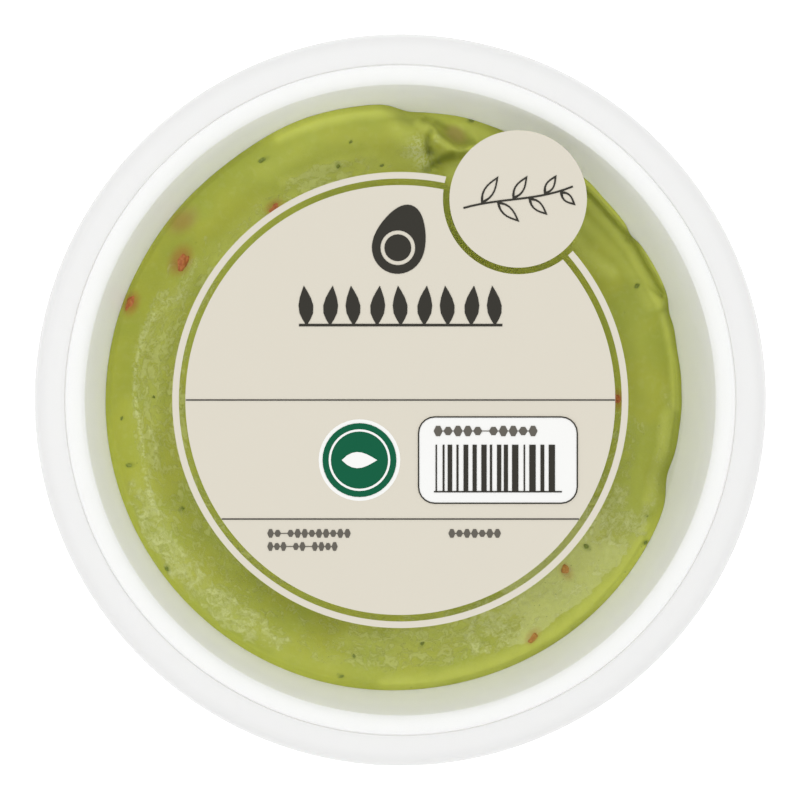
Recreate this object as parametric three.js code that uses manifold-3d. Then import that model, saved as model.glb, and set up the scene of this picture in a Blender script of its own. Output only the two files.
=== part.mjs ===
// Guacamole in its round plastic tub, closed by a clear sealing film that carries a printed label.
// Millimetres, +Z up. The origin is the centre of the tub's footprint, +Y is the top of the label.

import * as THREE from 'three';
import { mergeVertices } from 'three/addons/utils/BufferGeometryUtils.js';
import Module from 'manifold-3d';

// Driving dimensions

const DEG = Math.PI / 180;

const TUB = {
  outerRadius: 47.6,       // rolled outer edge of the flange
  height: 34,              // foot to the top of the sealing bead
  mouthRadius: 40.95,      // inner wall at the rim
  wallSlope: 0.2007,       // inward run of the wall per millimetre of depth
  wall: 0.85,
  floorTop: 1.8,           // inner floor above the table
  floorFillet: 1.6,
  beadInner: 41.25,
  beadOuter: 43.3,
  beadFoot: 43.64,
  beadHeight: 0.5,
  flangeFall: 0.25,        // the flange slopes down towards its edge
  edgeRound: 1.1,
  skirtDrop: 4.0,
  skirtWall: 0.85,
  footOuter: 33.4,
  footInner: 31.4,
  footRecess: 0.8,
  segments: 72,
};

const FILL = {
  gap: 0.12,               // left between the dip and the wall
  edgeDepth: 13.15,        // mean depth of the dip's edge below the rim
  tilt: 2.4,               // the dip lies higher on the left
  highSide: 180 * DEG,
  fineStep: 2.5 * DEG,     // angular step where the fold, lip and notch lie
  coarseStep: 5 * DEG,
  fineFrom: -25 * DEG,
  fineTo: 105 * DEG,
  rings: [0.16, 0.32, 0.46, 0.58, 0.68, 0.76, 0.81, 0.85, 0.88, 0.905, 0.93, 0.95, 0.966, 0.98, 0.991, 1],
};

// Rises and falls of the dip's edge along the wall: angle, half width and rise.
const EDGE_WAVES = [
  { at: 1.8, half: 2.5, rise: -0.37 },
  { at: 10.2, half: 7.2, rise: -1.88 },
  { at: 18.0, half: 2.3, rise: -2.13 },   // foot of the lip's lower end
  { at: 23.8, half: 7.9, rise: 1.02 },
  { at: 35.6, half: 1.8, rise: -1.36 },   // pinch between the two scallops of the lip
  { at: 49.5, half: 3.4, rise: 0.93 },
  { at: 85.0, half: 5.6, rise: -2.49 },   // pocket behind the end of the swirl
  { at: 88.8, half: 3.0, rise: -1.88 },
  { at: 89.6, half: 11.3, rise: 2.81 },   // end of the swirl, piled up against the wall
  { at: 108.0, half: 13.2, rise: 3.09 },
  { at: 152.0, half: 6.7, rise: -0.26 },
  { at: 207.0, half: 26.6, rise: 0.65 },
  { at: 247.9, half: 23.8, rise: 0.86 },
  { at: 290.0, half: 30.0, rise: -0.39 },
  { at: 307.7, half: 29.3, rise: 0.78 },
  { at: 344.0, half: 4.1, rise: -2.64 },  // notch where the smear on the wall ends
  { at: 351.5, half: 11.1, rise: -2.59 },
];

// The broad ring that the filling nozzle leaves, in parts of the dip's radius.
const RING = { crestAt: 0.895, crestHalf: 0.085, rise: 1.35, riseSwing: 0.45, swingTowards: 215 * DEG };
const SHOULDER = { width: 0.03, rise: 0.65, fade: 0.012 };
const SWIRL = { turns: 2.1, rise: 0.9, until: 0.8 };

// Bands that follow the wall: from and to angle, place and half width in parts of the radius, rise.
const BANDS = [
  { from: 17, to: 56, at: 0.987, half: 0.012, rise: 0.75 },   // thin lip smeared on the wall
  { from: 17, to: 56, at: 0.958, half: 0.012, rise: -1.0 },   // groove inside the lip
  { from: -15, to: 8, at: 0.985, half: 0.011, rise: -1.0 },   // lower smear outside the main edge
  { from: -46, to: -27, at: 0.984, half: 0.007, rise: -0.5 }, // thin groove near the lower right edge
];

// Folds where the swirl ends: straight strokes with soft sides, from and to a point, half width, rise.
const STROKES = [
  { from: [6.4, 37.2], to: [13.5, 34.6], half: 1.5, rise: -2.2 },  // pocket behind the end of the swirl
  { from: [1.2, 35.8], to: [3.6, 36.2], half: 1.6, rise: 0.7 },    // rounded nose
  { from: [4.2, 34.9], to: [5.2, 33.9], half: 0.8, rise: 1.0 },    // peak
  { from: [5.2, 33.9], to: [8.4, 32.2], half: 0.75, rise: 1.1 },   // tongue drawn out of the peak
  { from: [8.4, 32.2], to: [13.5, 31.4], half: 1.0, rise: 0.6 },
  { from: [4.9, 31.8], to: [7.2, 31.2], half: 0.8, rise: -1.5 },   // hollow under the tongue
  { from: [3.7, 34.9], to: [4.0, 32.9], half: 0.35, rise: -0.7 },  // cleft in the peak
];

// Bits in the dip: place, half length, half width and turn.
const PEPPER_BITS = [
  { at: [-28.94, 18.47], long: 1.15, wide: 0.85, turn: 70 },
  { at: [-34.95, 12.6], long: 1.05, wide: 0.65, turn: 70 },
  { at: [17.49, -31.26], long: 0.95, wide: 0.6, turn: 50 },
  { at: [21.97, -22.69], long: 0.95, wide: 0.7, turn: 120 },
  { at: [-28.81, 23.48], long: 1.0, wide: 0.75, turn: 20 },
  { at: [-16.67, 25.46], long: 0.95, wide: 0.6, turn: 35 },
  { at: [28.96, 0.79], long: 0.9, wide: 0.7, turn: 90 },
];
const HERB_BITS = [
  { at: [-18.39, 31.66], long: 0.72, wide: 0.28, turn: 25 },
  { at: [-8.23, 31.0], long: 0.42, wide: 0.3, turn: 100 },
  { at: [-35.53, -8.57], long: 0.55, wide: 0.3, turn: 5 },
  { at: [-28.81, -14.38], long: 0.4, wide: 0.3, turn: 60 },
  { at: [-30.65, -22.16], long: 0.5, wide: 0.3, turn: 120 },
  { at: [-7.83, -36.4], long: 0.4, wide: 0.28, turn: 0 },
  { at: [24.74, -19.52], long: 0.5, wide: 0.34, turn: 150 },
  { at: [32.3, -18.3], long: 0.4, wide: 0.26, turn: 40 },
  { at: [31.34, 15.04], long: 0.42, wide: 0.28, turn: 60 },
  { at: [9.31, 36.2], long: 0.42, wide: 0.26, turn: 0 },
];
const BIT_RISE = 0.28;      // how far a bit stands out of the dip

const FILM = { radius: 43.2, thickness: 0.12 };

const LABEL = {
  thickness: 0.1,
  discRadius: 27.9,
  ringInner: 28.75,
  ringOuter: 29.6,
  badgeRadius: 8.92,
  badgeClearance: 9.77,
  badgeAt: [15.3, 26.1],
  ruleWidth: 0.17,
  upperRule: 0,
  lowerRule: -15.45,
};
const INK = 0.06;           // thickness of one layer of print

const EMBLEM = { at: [0.05, 20.9], height: 9.2, width: 7.7, hollow: 2.25, stone: 1.75, stoneDrop: 1.2, turn: -18 * DEG };
const LEAF_BAND = { at: [0.05, 12.2], width: 26.4, height: 5.3, leaves: 9, leafWidth: 1.95, stem: 0.34 };
const MARK = { at: [-5.3, -7.8], radius: 5.3, border: 0.5, ringAt: 4.0, ringWidth: 0.28, leafLong: 4.6, leafWide: 2.1 };
const PANEL = { at: [12.67, -7.8], width: 20.8, height: 11.4, corner: 2.2, line: 0.19 };
const PANEL_CAPTION = { left: -8.4, top: 4.45, height: 1.35, width: 13.6, words: [5, 5] };
const PANEL_BARS = { left: -8.3, width: 16.6, bottom: -4.2, height: 6.2, seed: 7 };
const NOTES = { upper: -16.75, height: 1.13, pitch: 1.7, thread: 0.12 };
const SPRIG = { at: [15.3, 26.1], line: 0.26, length: 14.2, sag: 2.2, leaves: 6, leafLong: 4.6, leafWide: 1.5 };

// Colours

const finish = (color, roughness, options = {}) =>
  new THREE.MeshStandardMaterial({ color, roughness, metalness: 0, ...options });

const PLASTIC = finish('#f1f1ee', 0.4);
const DIP = finish('#a2ab4c', 0.45);
const CLEAR = finish('#f7f9f4', 0.08, { transparent: true, opacity: 0.15 });
const CREAM = finish('#e1dbcb', 0.6);
const DARK = finish('#3b3a34', 0.6);
const GREEN = finish('#056041', 0.6);
const WHITE = finish('#fffffd', 0.6);

// Helpers

const object = new THREE.Group();

function add(name, geometry, material, z = 0) {
  const mesh = new THREE.Mesh(geometry, material);
  mesh.name = name;
  mesh.position.z = z;
  object.add(mesh);
  return mesh;
}

const ease = (value) => {
  const x = Math.min(1, Math.max(0, value));
  return x * x * (3 - 2 * x);
};
const bell = (value) => Math.exp(-value * value);

function angleGap(a, b) {
  return Math.atan2(Math.sin(a - b), Math.cos(a - b));
}

function arc(cx, cy, radius, from, to, step = 5 * DEG) {
  const count = Math.max(1, Math.round(Math.abs(to - from) / step));
  return Array.from({ length: count + 1 }, (_, i) => {
    const angle = from + ((to - from) * i) / count;
    return new THREE.Vector2(cx + radius * Math.cos(angle), cy + radius * Math.sin(angle));
  });
}

function circle(cx, cy, radius, step = 5 * DEG) {
  return arc(cx, cy, radius, 0, 2 * Math.PI, step).slice(0, -1);
}

function roundedBox(cx, cy, width, height, corner) {
  const [x, y] = [width / 2 - corner, height / 2 - corner];
  const corners = [[x, y, 0], [-x, y, 90], [-x, -y, 180], [x, -y, 270]];
  return corners.flatMap(([dx, dy, from]) =>
    arc(cx + dx, cy + dy, corner, from * DEG, (from + 90) * DEG, 18 * DEG));
}

function bar(left, bottom, width, height) {
  return [[0, 0], [width, 0], [width, height], [0, height]].map(([x, y]) =>
    new THREE.Vector2(left + x, bottom + y));
}

function leafOutline(cx, cy, long, wide, turn, steps = 7) {
  const upper = Array.from({ length: steps + 1 }, (_, i) => {
    const along = i / steps;
    return [(along - 0.5) * long, (wide / 2) * Math.sin(Math.PI * along ** 0.85)];
  });
  const lower = upper.slice(1, -1).reverse().map(([x, y]) => [x, -y]);
  return [...lower.reverse(), ...upper.slice().reverse()].map(([x, y]) => new THREE.Vector2(
    cx + x * Math.cos(turn) - y * Math.sin(turn),
    cy + x * Math.sin(turn) + y * Math.cos(turn)));
}

function slab(outline, thickness, holes = []) {
  const shape = new THREE.Shape(outline);
  for (const hole of holes) shape.holes.push(new THREE.Path(hole));
  return new THREE.ExtrudeGeometry(shape, { depth: thickness, bevelEnabled: false, steps: 1 });
}

const wasm = await Module();
wasm.setup();

function toSolid(geometry) {
  const bare = geometry.clone();
  bare.deleteAttribute('normal');
  bare.deleteAttribute('uv');
  const merged = mergeVertices(bare, 1e-5);
  return new wasm.Manifold(new wasm.Mesh({
    numProp: 3,
    vertProperties: Float32Array.from(merged.attributes.position.array),
    triVerts: Uint32Array.from(merged.index.array),
  }));
}

function toGeometry(solid) {
  const { vertProperties, triVerts, numProp } = solid.getMesh();
  const count = vertProperties.length / numProp;
  const positions = new Float32Array(count * 3);
  for (let i = 0; i < count; i += 1) {
    positions.set(vertProperties.subarray(i * numProp, i * numProp + 3), i * 3);
  }
  const geometry = new THREE.BufferGeometry();
  geometry.setAttribute('position', new THREE.BufferAttribute(positions, 3));
  geometry.setIndex(Array.from(triVerts));
  geometry.computeVertexNormals();
  return geometry;
}

function join(geometries) {
  return toGeometry(geometries.map(toSolid).reduce((sum, solid) => sum.add(solid)));
}

// Tub

const wallRadius = (z) => TUB.mouthRadius - (TUB.height - z) * TUB.wallSlope;

function tubProfile() {
  const { height: top, floorTop, floorFillet: fillet, edgeRound: round } = TUB;
  const flangeTop = top - TUB.beadHeight;
  const edgeTop = flangeTop - TUB.flangeFall;
  const under = edgeTop - TUB.wall - 0.25;
  const skirtEnd = top - TUB.skirtDrop;
  const skirtInner = TUB.outerRadius - TUB.skirtWall;
  const outerWall = (z) => wallRadius(z) + TUB.wall;
  const floorEdge = wallRadius(floorTop);
  const points = [
    [0, floorTop],
    [floorEdge - fillet, floorTop],
    [floorEdge - fillet * 0.45, floorTop + fillet * 0.15],
    [wallRadius(floorTop + fillet * 0.45) - fillet * 0.12, floorTop + fillet * 0.45],
    [wallRadius(floorTop + fillet), floorTop + fillet],
    [wallRadius(top - 0.3), top - 0.3],
    [TUB.beadInner - 0.12, top - 0.06],
    [TUB.beadInner, top],
    [TUB.beadOuter - 0.15, top],
    [TUB.beadOuter + 0.12, top - 0.1],
    [TUB.beadFoot, flangeTop],
    [TUB.outerRadius - round, edgeTop],
    [TUB.outerRadius - round * 0.62, edgeTop - round * 0.08],
    [TUB.outerRadius - round * 0.29, edgeTop - round * 0.29],
    [TUB.outerRadius - round * 0.08, edgeTop - round * 0.62],
    [TUB.outerRadius, edgeTop - round],
    [TUB.outerRadius, skirtEnd + 0.15],
    [TUB.outerRadius - 0.15, skirtEnd],
    [skirtInner + 0.15, skirtEnd],
    [skirtInner, skirtEnd + 0.15],
    [skirtInner, under - 0.5],
    [skirtInner - 0.5, under],
    [outerWall(under) + 0.6, under],
    [outerWall(under - 0.6), under - 0.6],
    [outerWall(2.4), 2.4],
    [outerWall(0.7) - 0.35, 0.7],
    [TUB.footOuter, 0],
    [TUB.footInner, 0],
    [TUB.footInner - 0.5, TUB.footRecess],
    [0, TUB.footRecess],
  ];
  return points.map(([r, z]) => new THREE.Vector2(r, z)).reverse();
}

const tubGeometry = new THREE.LatheGeometry(tubProfile(), TUB.segments);
tubGeometry.rotateX(Math.PI / 2);
add('tub', tubGeometry, PLASTIC);

// Guacamole

// Waves of the edge fade towards the axis, the narrow ones soonest. inward is 0 at the edge.
function edgeWaves(angle, inward = 0) {
  return EDGE_WAVES.reduce((sum, { at, half, rise }) => sum
    + rise * bell(angleGap(angle, at * DEG) / (half * DEG)) * bell(inward / (0.8 * half * DEG)), 0);
}

// Depth of the tilted level below the rim.
const levelDepth = (part, angle) => FILL.edgeDepth - FILL.tilt * part * Math.cos(angle - FILL.highSide);

const edgeDepth = (angle) => levelDepth(1, angle) - edgeWaves(angle);

function strokeRise(x, y, { from, to, half, rise }) {
  const [dx, dy] = [to[0] - from[0], to[1] - from[1]];
  const along = Math.min(1, Math.max(0,
    ((x - from[0]) * dx + (y - from[1]) * dy) / (dx * dx + dy * dy)));
  return rise * bell(Math.hypot(x - from[0] - along * dx, y - from[1] - along * dy) / half);
}

function bandRise(part, angle, { from, to, at, half, rise }) {
  const middle = ((from + to) / 2) * DEG;
  const reach = ((to - from) / 2) * DEG;
  const outside = Math.abs(angleGap(angle, middle)) - reach;
  return rise * bell((part - at) / half) * (1 - ease(outside / (4 * DEG) + 0.5));
}

// Height of the dip's surface above its edge; part is the distance from the axis, 1 at the edge.
function reliefRise(part, angle, x, y) {
  const swing = RING.riseSwing * Math.cos(angle - RING.swingTowards);
  const inner = 1 - ease((part - SWIRL.until + 0.1) / 0.1);
  const spiral = Math.cos(angle + 2 * Math.PI * SWIRL.turns * part);
  let relief = (RING.rise + swing) * bell((part - RING.crestAt) / RING.crestHalf)
    + SWIRL.rise * inner * spiral * ease(part / 0.25);
  for (const band of BANDS) relief += bandRise(part, angle, band);
  for (const stroke of STROKES) relief += strokeRise(x, y, stroke);
  return SHOULDER.rise * ease((1 - part) / SHOULDER.width) + relief * ease((1 - part) / SHOULDER.fade);
}

// Surface point at a part of the way from the axis to the wall.
function surfacePoint(part, angle) {
  const radius = part * (wallRadius(TUB.height - edgeDepth(angle)) - FILL.gap);
  const [x, y] = [radius * Math.cos(angle), radius * Math.sin(angle)];
  const depth = levelDepth(part, angle) - edgeWaves(angle, 1 - part);
  return new THREE.Vector3(x, y, TUB.height - depth + reliefRise(part, angle, x, y));
}

function fillAngles() {
  const angles = [];
  for (let angle = FILL.fineFrom; angle < FILL.fineFrom + 2 * Math.PI - 1e-6;) {
    angles.push(angle);
    angle += angle < FILL.fineTo - 1e-6 ? FILL.fineStep : FILL.coarseStep;
  }
  return angles;
}

function dipGeometry() {
  const angles = fillAngles();
  const { floorTop, floorFillet: fillet } = TUB;
  const base = floorTop + fillet;
  const rows = [
    ...FILL.rings.map((part) => angles.map((angle) => surfacePoint(part, angle))),
    angles.map((angle) => [wallRadius(base) - FILL.gap, angle, base]),
    angles.map((angle) => [wallRadius(floorTop) - fillet - FILL.gap, angle, floorTop]),
  ].map((row) => row.map((point) => (Array.isArray(point)
    ? new THREE.Vector3(point[0] * Math.cos(point[1]), point[0] * Math.sin(point[1]), point[2])
    : point)));
  const points = [surfacePoint(0, 0), ...rows.flat(), new THREE.Vector3(0, 0, floorTop)];
  const at = (row, i) => 1 + row * angles.length + (i % angles.length);
  const index = [];
  for (let i = 0; i < angles.length; i += 1) {
    index.push(0, at(0, i), at(0, i + 1));
    for (let row = 0; row + 1 < rows.length; row += 1) {
      index.push(at(row, i), at(row + 1, i), at(row + 1, i + 1));
      index.push(at(row, i), at(row + 1, i + 1), at(row, i + 1));
    }
    index.push(points.length - 1, at(rows.length - 1, i + 1), at(rows.length - 1, i));
  }
  const geometry = new THREE.BufferGeometry().setFromPoints(points);
  geometry.setIndex(index);
  return geometry;
}

// A low lens that sits half sunk in the surface.
function bitGeometry({ at: [x, y], long, wide, turn }) {
  const angle = Math.atan2(y, x);
  const edge = wallRadius(TUB.height - edgeDepth(angle)) - FILL.gap;
  const surface = surfacePoint(Math.hypot(x, y) / edge, angle);
  const geometry = new THREE.SphereGeometry(1, 6, 4);
  geometry.rotateX(Math.PI / 2);
  geometry.scale(long, wide, 2 * BIT_RISE);
  geometry.rotateZ(turn * DEG);
  geometry.translate(x, y, surface.z - BIT_RISE);
  return geometry;
}

add('guacamole', join([dipGeometry(), ...[...PEPPER_BITS, ...HERB_BITS].map(bitGeometry)]), DIP);

// Film

const filmTop = TUB.height + FILM.thickness;
add('film', slab(circle(0, 0, FILM.radius), FILM.thickness), CLEAR, TUB.height);

// Label fields

// Angles at which the badge's clearance circle meets a circle about the axis, seen from both centres.
function clearanceAngles(radius) {
  const [bx, by] = LABEL.badgeAt;
  const [distance, cut] = [Math.hypot(bx, by), LABEL.badgeClearance];
  return {
    toBadge: Math.atan2(by, bx),
    half: Math.acos((radius ** 2 + distance ** 2 - cut ** 2) / (2 * radius * distance)),
    cutHalf: Math.acos((cut ** 2 + distance ** 2 - radius ** 2) / (2 * cut * distance)),
  };
}

function discOutline(radius) {
  const { toBadge, half, cutHalf } = clearanceAngles(radius);
  const rim = arc(0, 0, radius, toBadge + half, toBadge - half + 2 * Math.PI, 4 * DEG);
  const bite = arc(...LABEL.badgeAt, LABEL.badgeClearance, toBadge + Math.PI + cutHalf,
    toBadge + Math.PI - cutHalf, 10 * DEG);
  return [...rim, ...bite.slice(1, -1)];
}

function ringOutline(outer, inner) {
  const [a, b] = [clearanceAngles(outer), clearanceAngles(inner)];
  return [
    ...arc(0, 0, outer, a.toBadge + a.half, a.toBadge - a.half + 2 * Math.PI),
    ...arc(0, 0, inner, b.toBadge - b.half + 2 * Math.PI, b.toBadge + b.half),
  ];
}

const labelTop = filmTop + LABEL.thickness;
add('label_disc', slab(discOutline(LABEL.discRadius), LABEL.thickness), CREAM, filmTop);
add('label_ring', slab(ringOutline(LABEL.ringOuter, LABEL.ringInner), LABEL.thickness), CREAM, filmTop);
add('label_badge', slab(circle(...LABEL.badgeAt, LABEL.badgeRadius, 7.5 * DEG), LABEL.thickness),
  CREAM, filmTop);

function rule(y) {
  const half = Math.sqrt(LABEL.discRadius ** 2 - y ** 2) - 0.05;
  return slab(bar(-half, y - LABEL.ruleWidth / 2, 2 * half, LABEL.ruleWidth), INK);
}
add('rule_upper', rule(LABEL.upperRule), DARK, labelTop);
add('rule_lower', rule(LABEL.lowerRule), DARK, labelTop);

// Emblem: half an avocado

// Pear outline, narrow at the top.
function pearOutline() {
  const { at: [cx, cy], height, width, turn } = EMBLEM;
  return Array.from({ length: 40 }, (_, i) => {
    const angle = (i / 40) * 2 * Math.PI;
    const narrow = 1 - 0.27 * ease(0.5 + 0.5 * Math.sin(angle));
    const x = (width / 2) * Math.cos(angle) * narrow;
    const y = (height / 2) * Math.sin(angle);
    return new THREE.Vector2(cx + x * Math.cos(turn) - y * Math.sin(turn),
      cy + x * Math.sin(turn) + y * Math.cos(turn));
  });
}

const stoneAt = [
  EMBLEM.at[0] + EMBLEM.stoneDrop * Math.sin(EMBLEM.turn),
  EMBLEM.at[1] - EMBLEM.stoneDrop * Math.cos(EMBLEM.turn),
];
add('emblem', slab(pearOutline(), INK, [circle(...stoneAt, EMBLEM.hollow, 12 * DEG)]), DARK, labelTop);
add('emblem_stone', slab(circle(...stoneAt, EMBLEM.stone, 15 * DEG), INK), DARK, labelTop);

// Leaf band: a row of upright leaves on a stem

function leafBandOutline() {
  const { at: [cx, cy], width, height, leaves, leafWidth, stem } = LEAF_BAND;
  const pitch = (width - leafWidth) / (leaves - 1);
  const [left, foot] = [cx - width / 2, cy - height / 2];
  const blade = height - stem;
  const outline = [new THREE.Vector2(left, foot)];
  outline.push(new THREE.Vector2(left + width, foot), new THREE.Vector2(left + width, foot + stem));
  for (let i = leaves - 1; i >= 0; i -= 1) {
    const middle = left + leafWidth / 2 + i * pitch;
    const lean = 0.35 * (i % 2 ? 1 : -1);
    const sides = [1, 0.86, 0.68, 0.48, 0.28, 0.12, 0].map((along) => ({
      half: Math.max(0.17, (leafWidth / 2) * Math.sin(Math.PI * along ** 0.8)),
      x: middle + lean * along * along,
      y: foot + stem + blade * along,
    }));
    const right = sides.slice(1).reverse().map(({ half, x, y }) => new THREE.Vector2(x + half, y));
    const leftSide = sides.slice(1).map(({ half, x, y }) => new THREE.Vector2(x - half, y));
    outline.push(...right, new THREE.Vector2(sides[0].x, sides[0].y), ...leftSide);
  }
  outline.push(new THREE.Vector2(left, foot + stem));
  return outline;
}
add('leaf_band', slab(leafBandOutline(), INK), DARK, labelTop);

// Round green mark with a leaf

const markStep = 9 * DEG;
add('mark_border', slab(circle(...MARK.at, MARK.radius, markStep), INK), WHITE, labelTop);
add('mark_field', slab(circle(...MARK.at, MARK.radius - MARK.border, markStep), INK), GREEN, labelTop + INK);
add('mark_ring', slab(circle(...MARK.at, MARK.ringAt, markStep), INK,
  [circle(...MARK.at, MARK.ringAt - MARK.ringWidth, markStep)]), WHITE, labelTop + 2 * INK);
add('mark_leaf', slab(leafOutline(...MARK.at, MARK.leafLong, MARK.leafWide, 0), INK), WHITE,
  labelTop + 2 * INK);

// Rows of print

// Upright bars on a base line, as one outline.
function combOutline(left, bottom, width, base, teeth) {
  const outline = [new THREE.Vector2(left, bottom), new THREE.Vector2(left + width, bottom)];
  outline.push(new THREE.Vector2(left + width, bottom + base));
  for (const { x, wide, high } of [...teeth].reverse()) {
    outline.push(...[[x + wide, base], [x + wide, high], [x, high], [x, base]].map(([dx, dy]) =>
      new THREE.Vector2(left + dx, bottom + dy)));
  }
  outline.push(new THREE.Vector2(left, bottom + base));
  return outline;
}

// Oval beads on a thread, in groups with a bare stretch of thread between them, as one outline.
function beadOutline(left, bottom, width, height, groups) {
  const gap = 0.75;
  const count = groups.reduce((sum, beads) => sum + beads, 0);
  const pitch = (width - gap * (groups.length - 1)) / count;
  const half = NOTES.thread / 2;
  const upper = [];
  let x = left;
  groups.forEach((beads, group) => {
    for (let i = 0; i < beads; i += 1) {
      const round = (i + group) % 3 === 1 ? 0.8 : 1;
      for (const [along, rise] of [[0.06, 0], [0.3, 1], [0.7, 1], [0.94, 0]]) {
        upper.push([x + pitch * along, Math.max(half, (height / 2) * rise * round)]);
      }
      x += pitch;
    }
    x += gap;
  });
  const middle = bottom + height / 2;
  return [
    ...upper.map(([px, rise]) => new THREE.Vector2(px, middle - rise)),
    ...upper.reverse().map(([px, rise]) => new THREE.Vector2(px, middle + rise)),
  ];
}

// Panel with bars

const [panelX, panelY] = PANEL.at;
add('panel_field', slab(roundedBox(panelX, panelY, PANEL.width, PANEL.height, PANEL.corner), INK),
  WHITE, labelTop);
add('panel_outline', slab(
  roundedBox(panelX, panelY, PANEL.width, PANEL.height, PANEL.corner), INK,
  [roundedBox(panelX, panelY, PANEL.width - 2 * PANEL.line, PANEL.height - 2 * PANEL.line,
    PANEL.corner - PANEL.line)]), DARK, labelTop + INK);

add('panel_caption', slab(beadOutline(panelX + PANEL_CAPTION.left,
  panelY + PANEL_CAPTION.top - PANEL_CAPTION.height, PANEL_CAPTION.width, PANEL_CAPTION.height,
  PANEL_CAPTION.words), INK), DARK, labelTop + INK);

function barTeeth() {
  const teeth = [];
  let state = PANEL_BARS.seed;
  const draw = () => {
    state = (state * 16807) % 2147483647;
    return state / 2147483647;
  };
  for (let x = 0.2; x < PANEL_BARS.width - 1.1;) {
    const wide = 0.2 + 0.75 * draw() ** 2;
    teeth.push({ x, wide, high: PANEL_BARS.height });
    x += wide + 0.3 + 0.45 * draw();
  }
  return teeth;
}
add('panel_bars', slab(combOutline(panelX + PANEL_BARS.left, panelY + PANEL_BARS.bottom,
  PANEL_BARS.width, 0.19, barTeeth()), INK), DARK, labelTop + INK);

// Notes in the lower field

const NOTE_ROWS = [
  { name: 'note_upper', left: -17.3, row: 0, width: 10.9, words: [2, 9] },
  { name: 'note_lower', left: -17.3, row: 1, width: 9.2, words: [3, 2, 4] },
  { name: 'note_right', left: 6.2, row: 0, width: 6.9, words: [7] },
];
for (const { name, left, row, width, words } of NOTE_ROWS) {
  const bottom = NOTES.upper - row * NOTES.pitch - NOTES.height;
  add(name, slab(beadOutline(left, bottom, width, NOTES.height, words), INK), DARK, labelTop);
}

// Sprig drawn in thin lines on the badge

function sprigPoint(along) {
  const { at: [cx, cy], length, sag } = SPRIG;
  const x = (along - 0.5) * length;
  return [cx + x, cy + 0.12 * x + sag * (0.25 - along * (1 - along)) * 2 * (along - 0.3)];
}

function sprigStem() {
  const half = SPRIG.line / 2;
  const steps = 14;
  const sides = [[], []];
  for (let i = 0; i <= steps; i += 1) {
    const [x, y] = sprigPoint(i / steps);
    const [nx, ny] = sprigPoint(i / steps + 0.01);
    const length = Math.hypot(nx - x, ny - y);
    const [ox, oy] = [(-(ny - y) / length) * half, ((nx - x) / length) * half];
    sides[0].push(new THREE.Vector2(x - ox, y - oy));
    sides[1].push(new THREE.Vector2(x + ox, y + oy));
  }
  return slab([...sides[0], ...sides[1].reverse()], INK);
}

function sprigLeaf(index) {
  const along = 0.16 + (0.72 * index) / (SPRIG.leaves - 1);
  const [x, y] = sprigPoint(along);
  const turn = (index % 2 ? -1 : 1) * 50 * DEG + 8 * DEG;
  const long = SPRIG.leafLong * (1 - 0.45 * along);
  const wide = SPRIG.leafWide * (1 - 0.25 * along);
  const [cx, cy] = [x + (long / 2) * Math.cos(turn), y + (long / 2) * Math.sin(turn)];
  return slab(leafOutline(cx, cy, long, wide, turn), INK,
    [leafOutline(cx, cy, long - 4 * SPRIG.line, wide - 1.7 * SPRIG.line, turn, 5)]);
}

add('badge_sprig', join([sprigStem(), ...Array.from({ length: SPRIG.leaves }, (_, i) => sprigLeaf(i))]),
  DARK, labelTop);

export default object;
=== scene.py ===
"""Guacamole in its round white tub, seen from straight above through the printed sealing film.

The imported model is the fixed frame. The tub, the dip, the film and the label's fields are made again here
with a finer surface from the same named sizes, and the rest of the print keeps its solids under new
finishes. Sizes in the classes are millimetres; meshes are made in metres.
"""

from __future__ import annotations

import logging
import math
import sys
from dataclasses import dataclass, field
from enum import Enum
from typing import Callable, Iterable, Sequence, Union

import bmesh
import bpy
import numpy as np
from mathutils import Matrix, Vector, noise

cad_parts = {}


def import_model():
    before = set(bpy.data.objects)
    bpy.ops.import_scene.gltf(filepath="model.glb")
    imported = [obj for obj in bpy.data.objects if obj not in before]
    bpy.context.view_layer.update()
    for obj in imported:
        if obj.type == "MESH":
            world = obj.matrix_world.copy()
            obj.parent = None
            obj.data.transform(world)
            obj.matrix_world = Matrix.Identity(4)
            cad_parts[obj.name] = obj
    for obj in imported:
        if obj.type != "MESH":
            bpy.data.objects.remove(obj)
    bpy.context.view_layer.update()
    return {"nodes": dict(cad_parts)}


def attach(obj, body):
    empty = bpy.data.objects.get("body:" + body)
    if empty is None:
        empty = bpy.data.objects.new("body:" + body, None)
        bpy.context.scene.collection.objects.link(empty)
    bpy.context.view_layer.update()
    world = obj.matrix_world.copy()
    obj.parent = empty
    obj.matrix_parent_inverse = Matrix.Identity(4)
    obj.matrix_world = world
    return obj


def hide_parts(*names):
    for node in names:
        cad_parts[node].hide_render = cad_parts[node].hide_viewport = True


LOG = logging.getLogger("guacamole")
MM = 0.001
BODY = "root"

Point2 = tuple[float, float]
Span = tuple[float, float]
Colour = tuple[float, float, float]
Array = np.ndarray


# Small maths


def ease(value: Array | float) -> Array:
    """Smooth step from 0 to 1 of a value or array."""
    x = np.clip(value, 0.0, 1.0)
    return x * x * (3.0 - 2.0 * x)


def bell(value: Array | float) -> Array:
    """Bell curve, 1 at zero."""
    return np.exp(-np.square(value))


def angle_gap(a: Array | float, b: Array | float) -> Array:
    """Signed difference of two angles in radians, from -pi to pi."""
    return np.arctan2(np.sin(a - b), np.cos(a - b))


def outside_span(angle: Array, start: float, end: float) -> Array:
    """How far angles in radians lie outside a span given in degrees, negative inside it."""
    return np.abs(angle_gap(angle, math.radians((start + end) / 2))) - math.radians((end - start) / 2)


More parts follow.
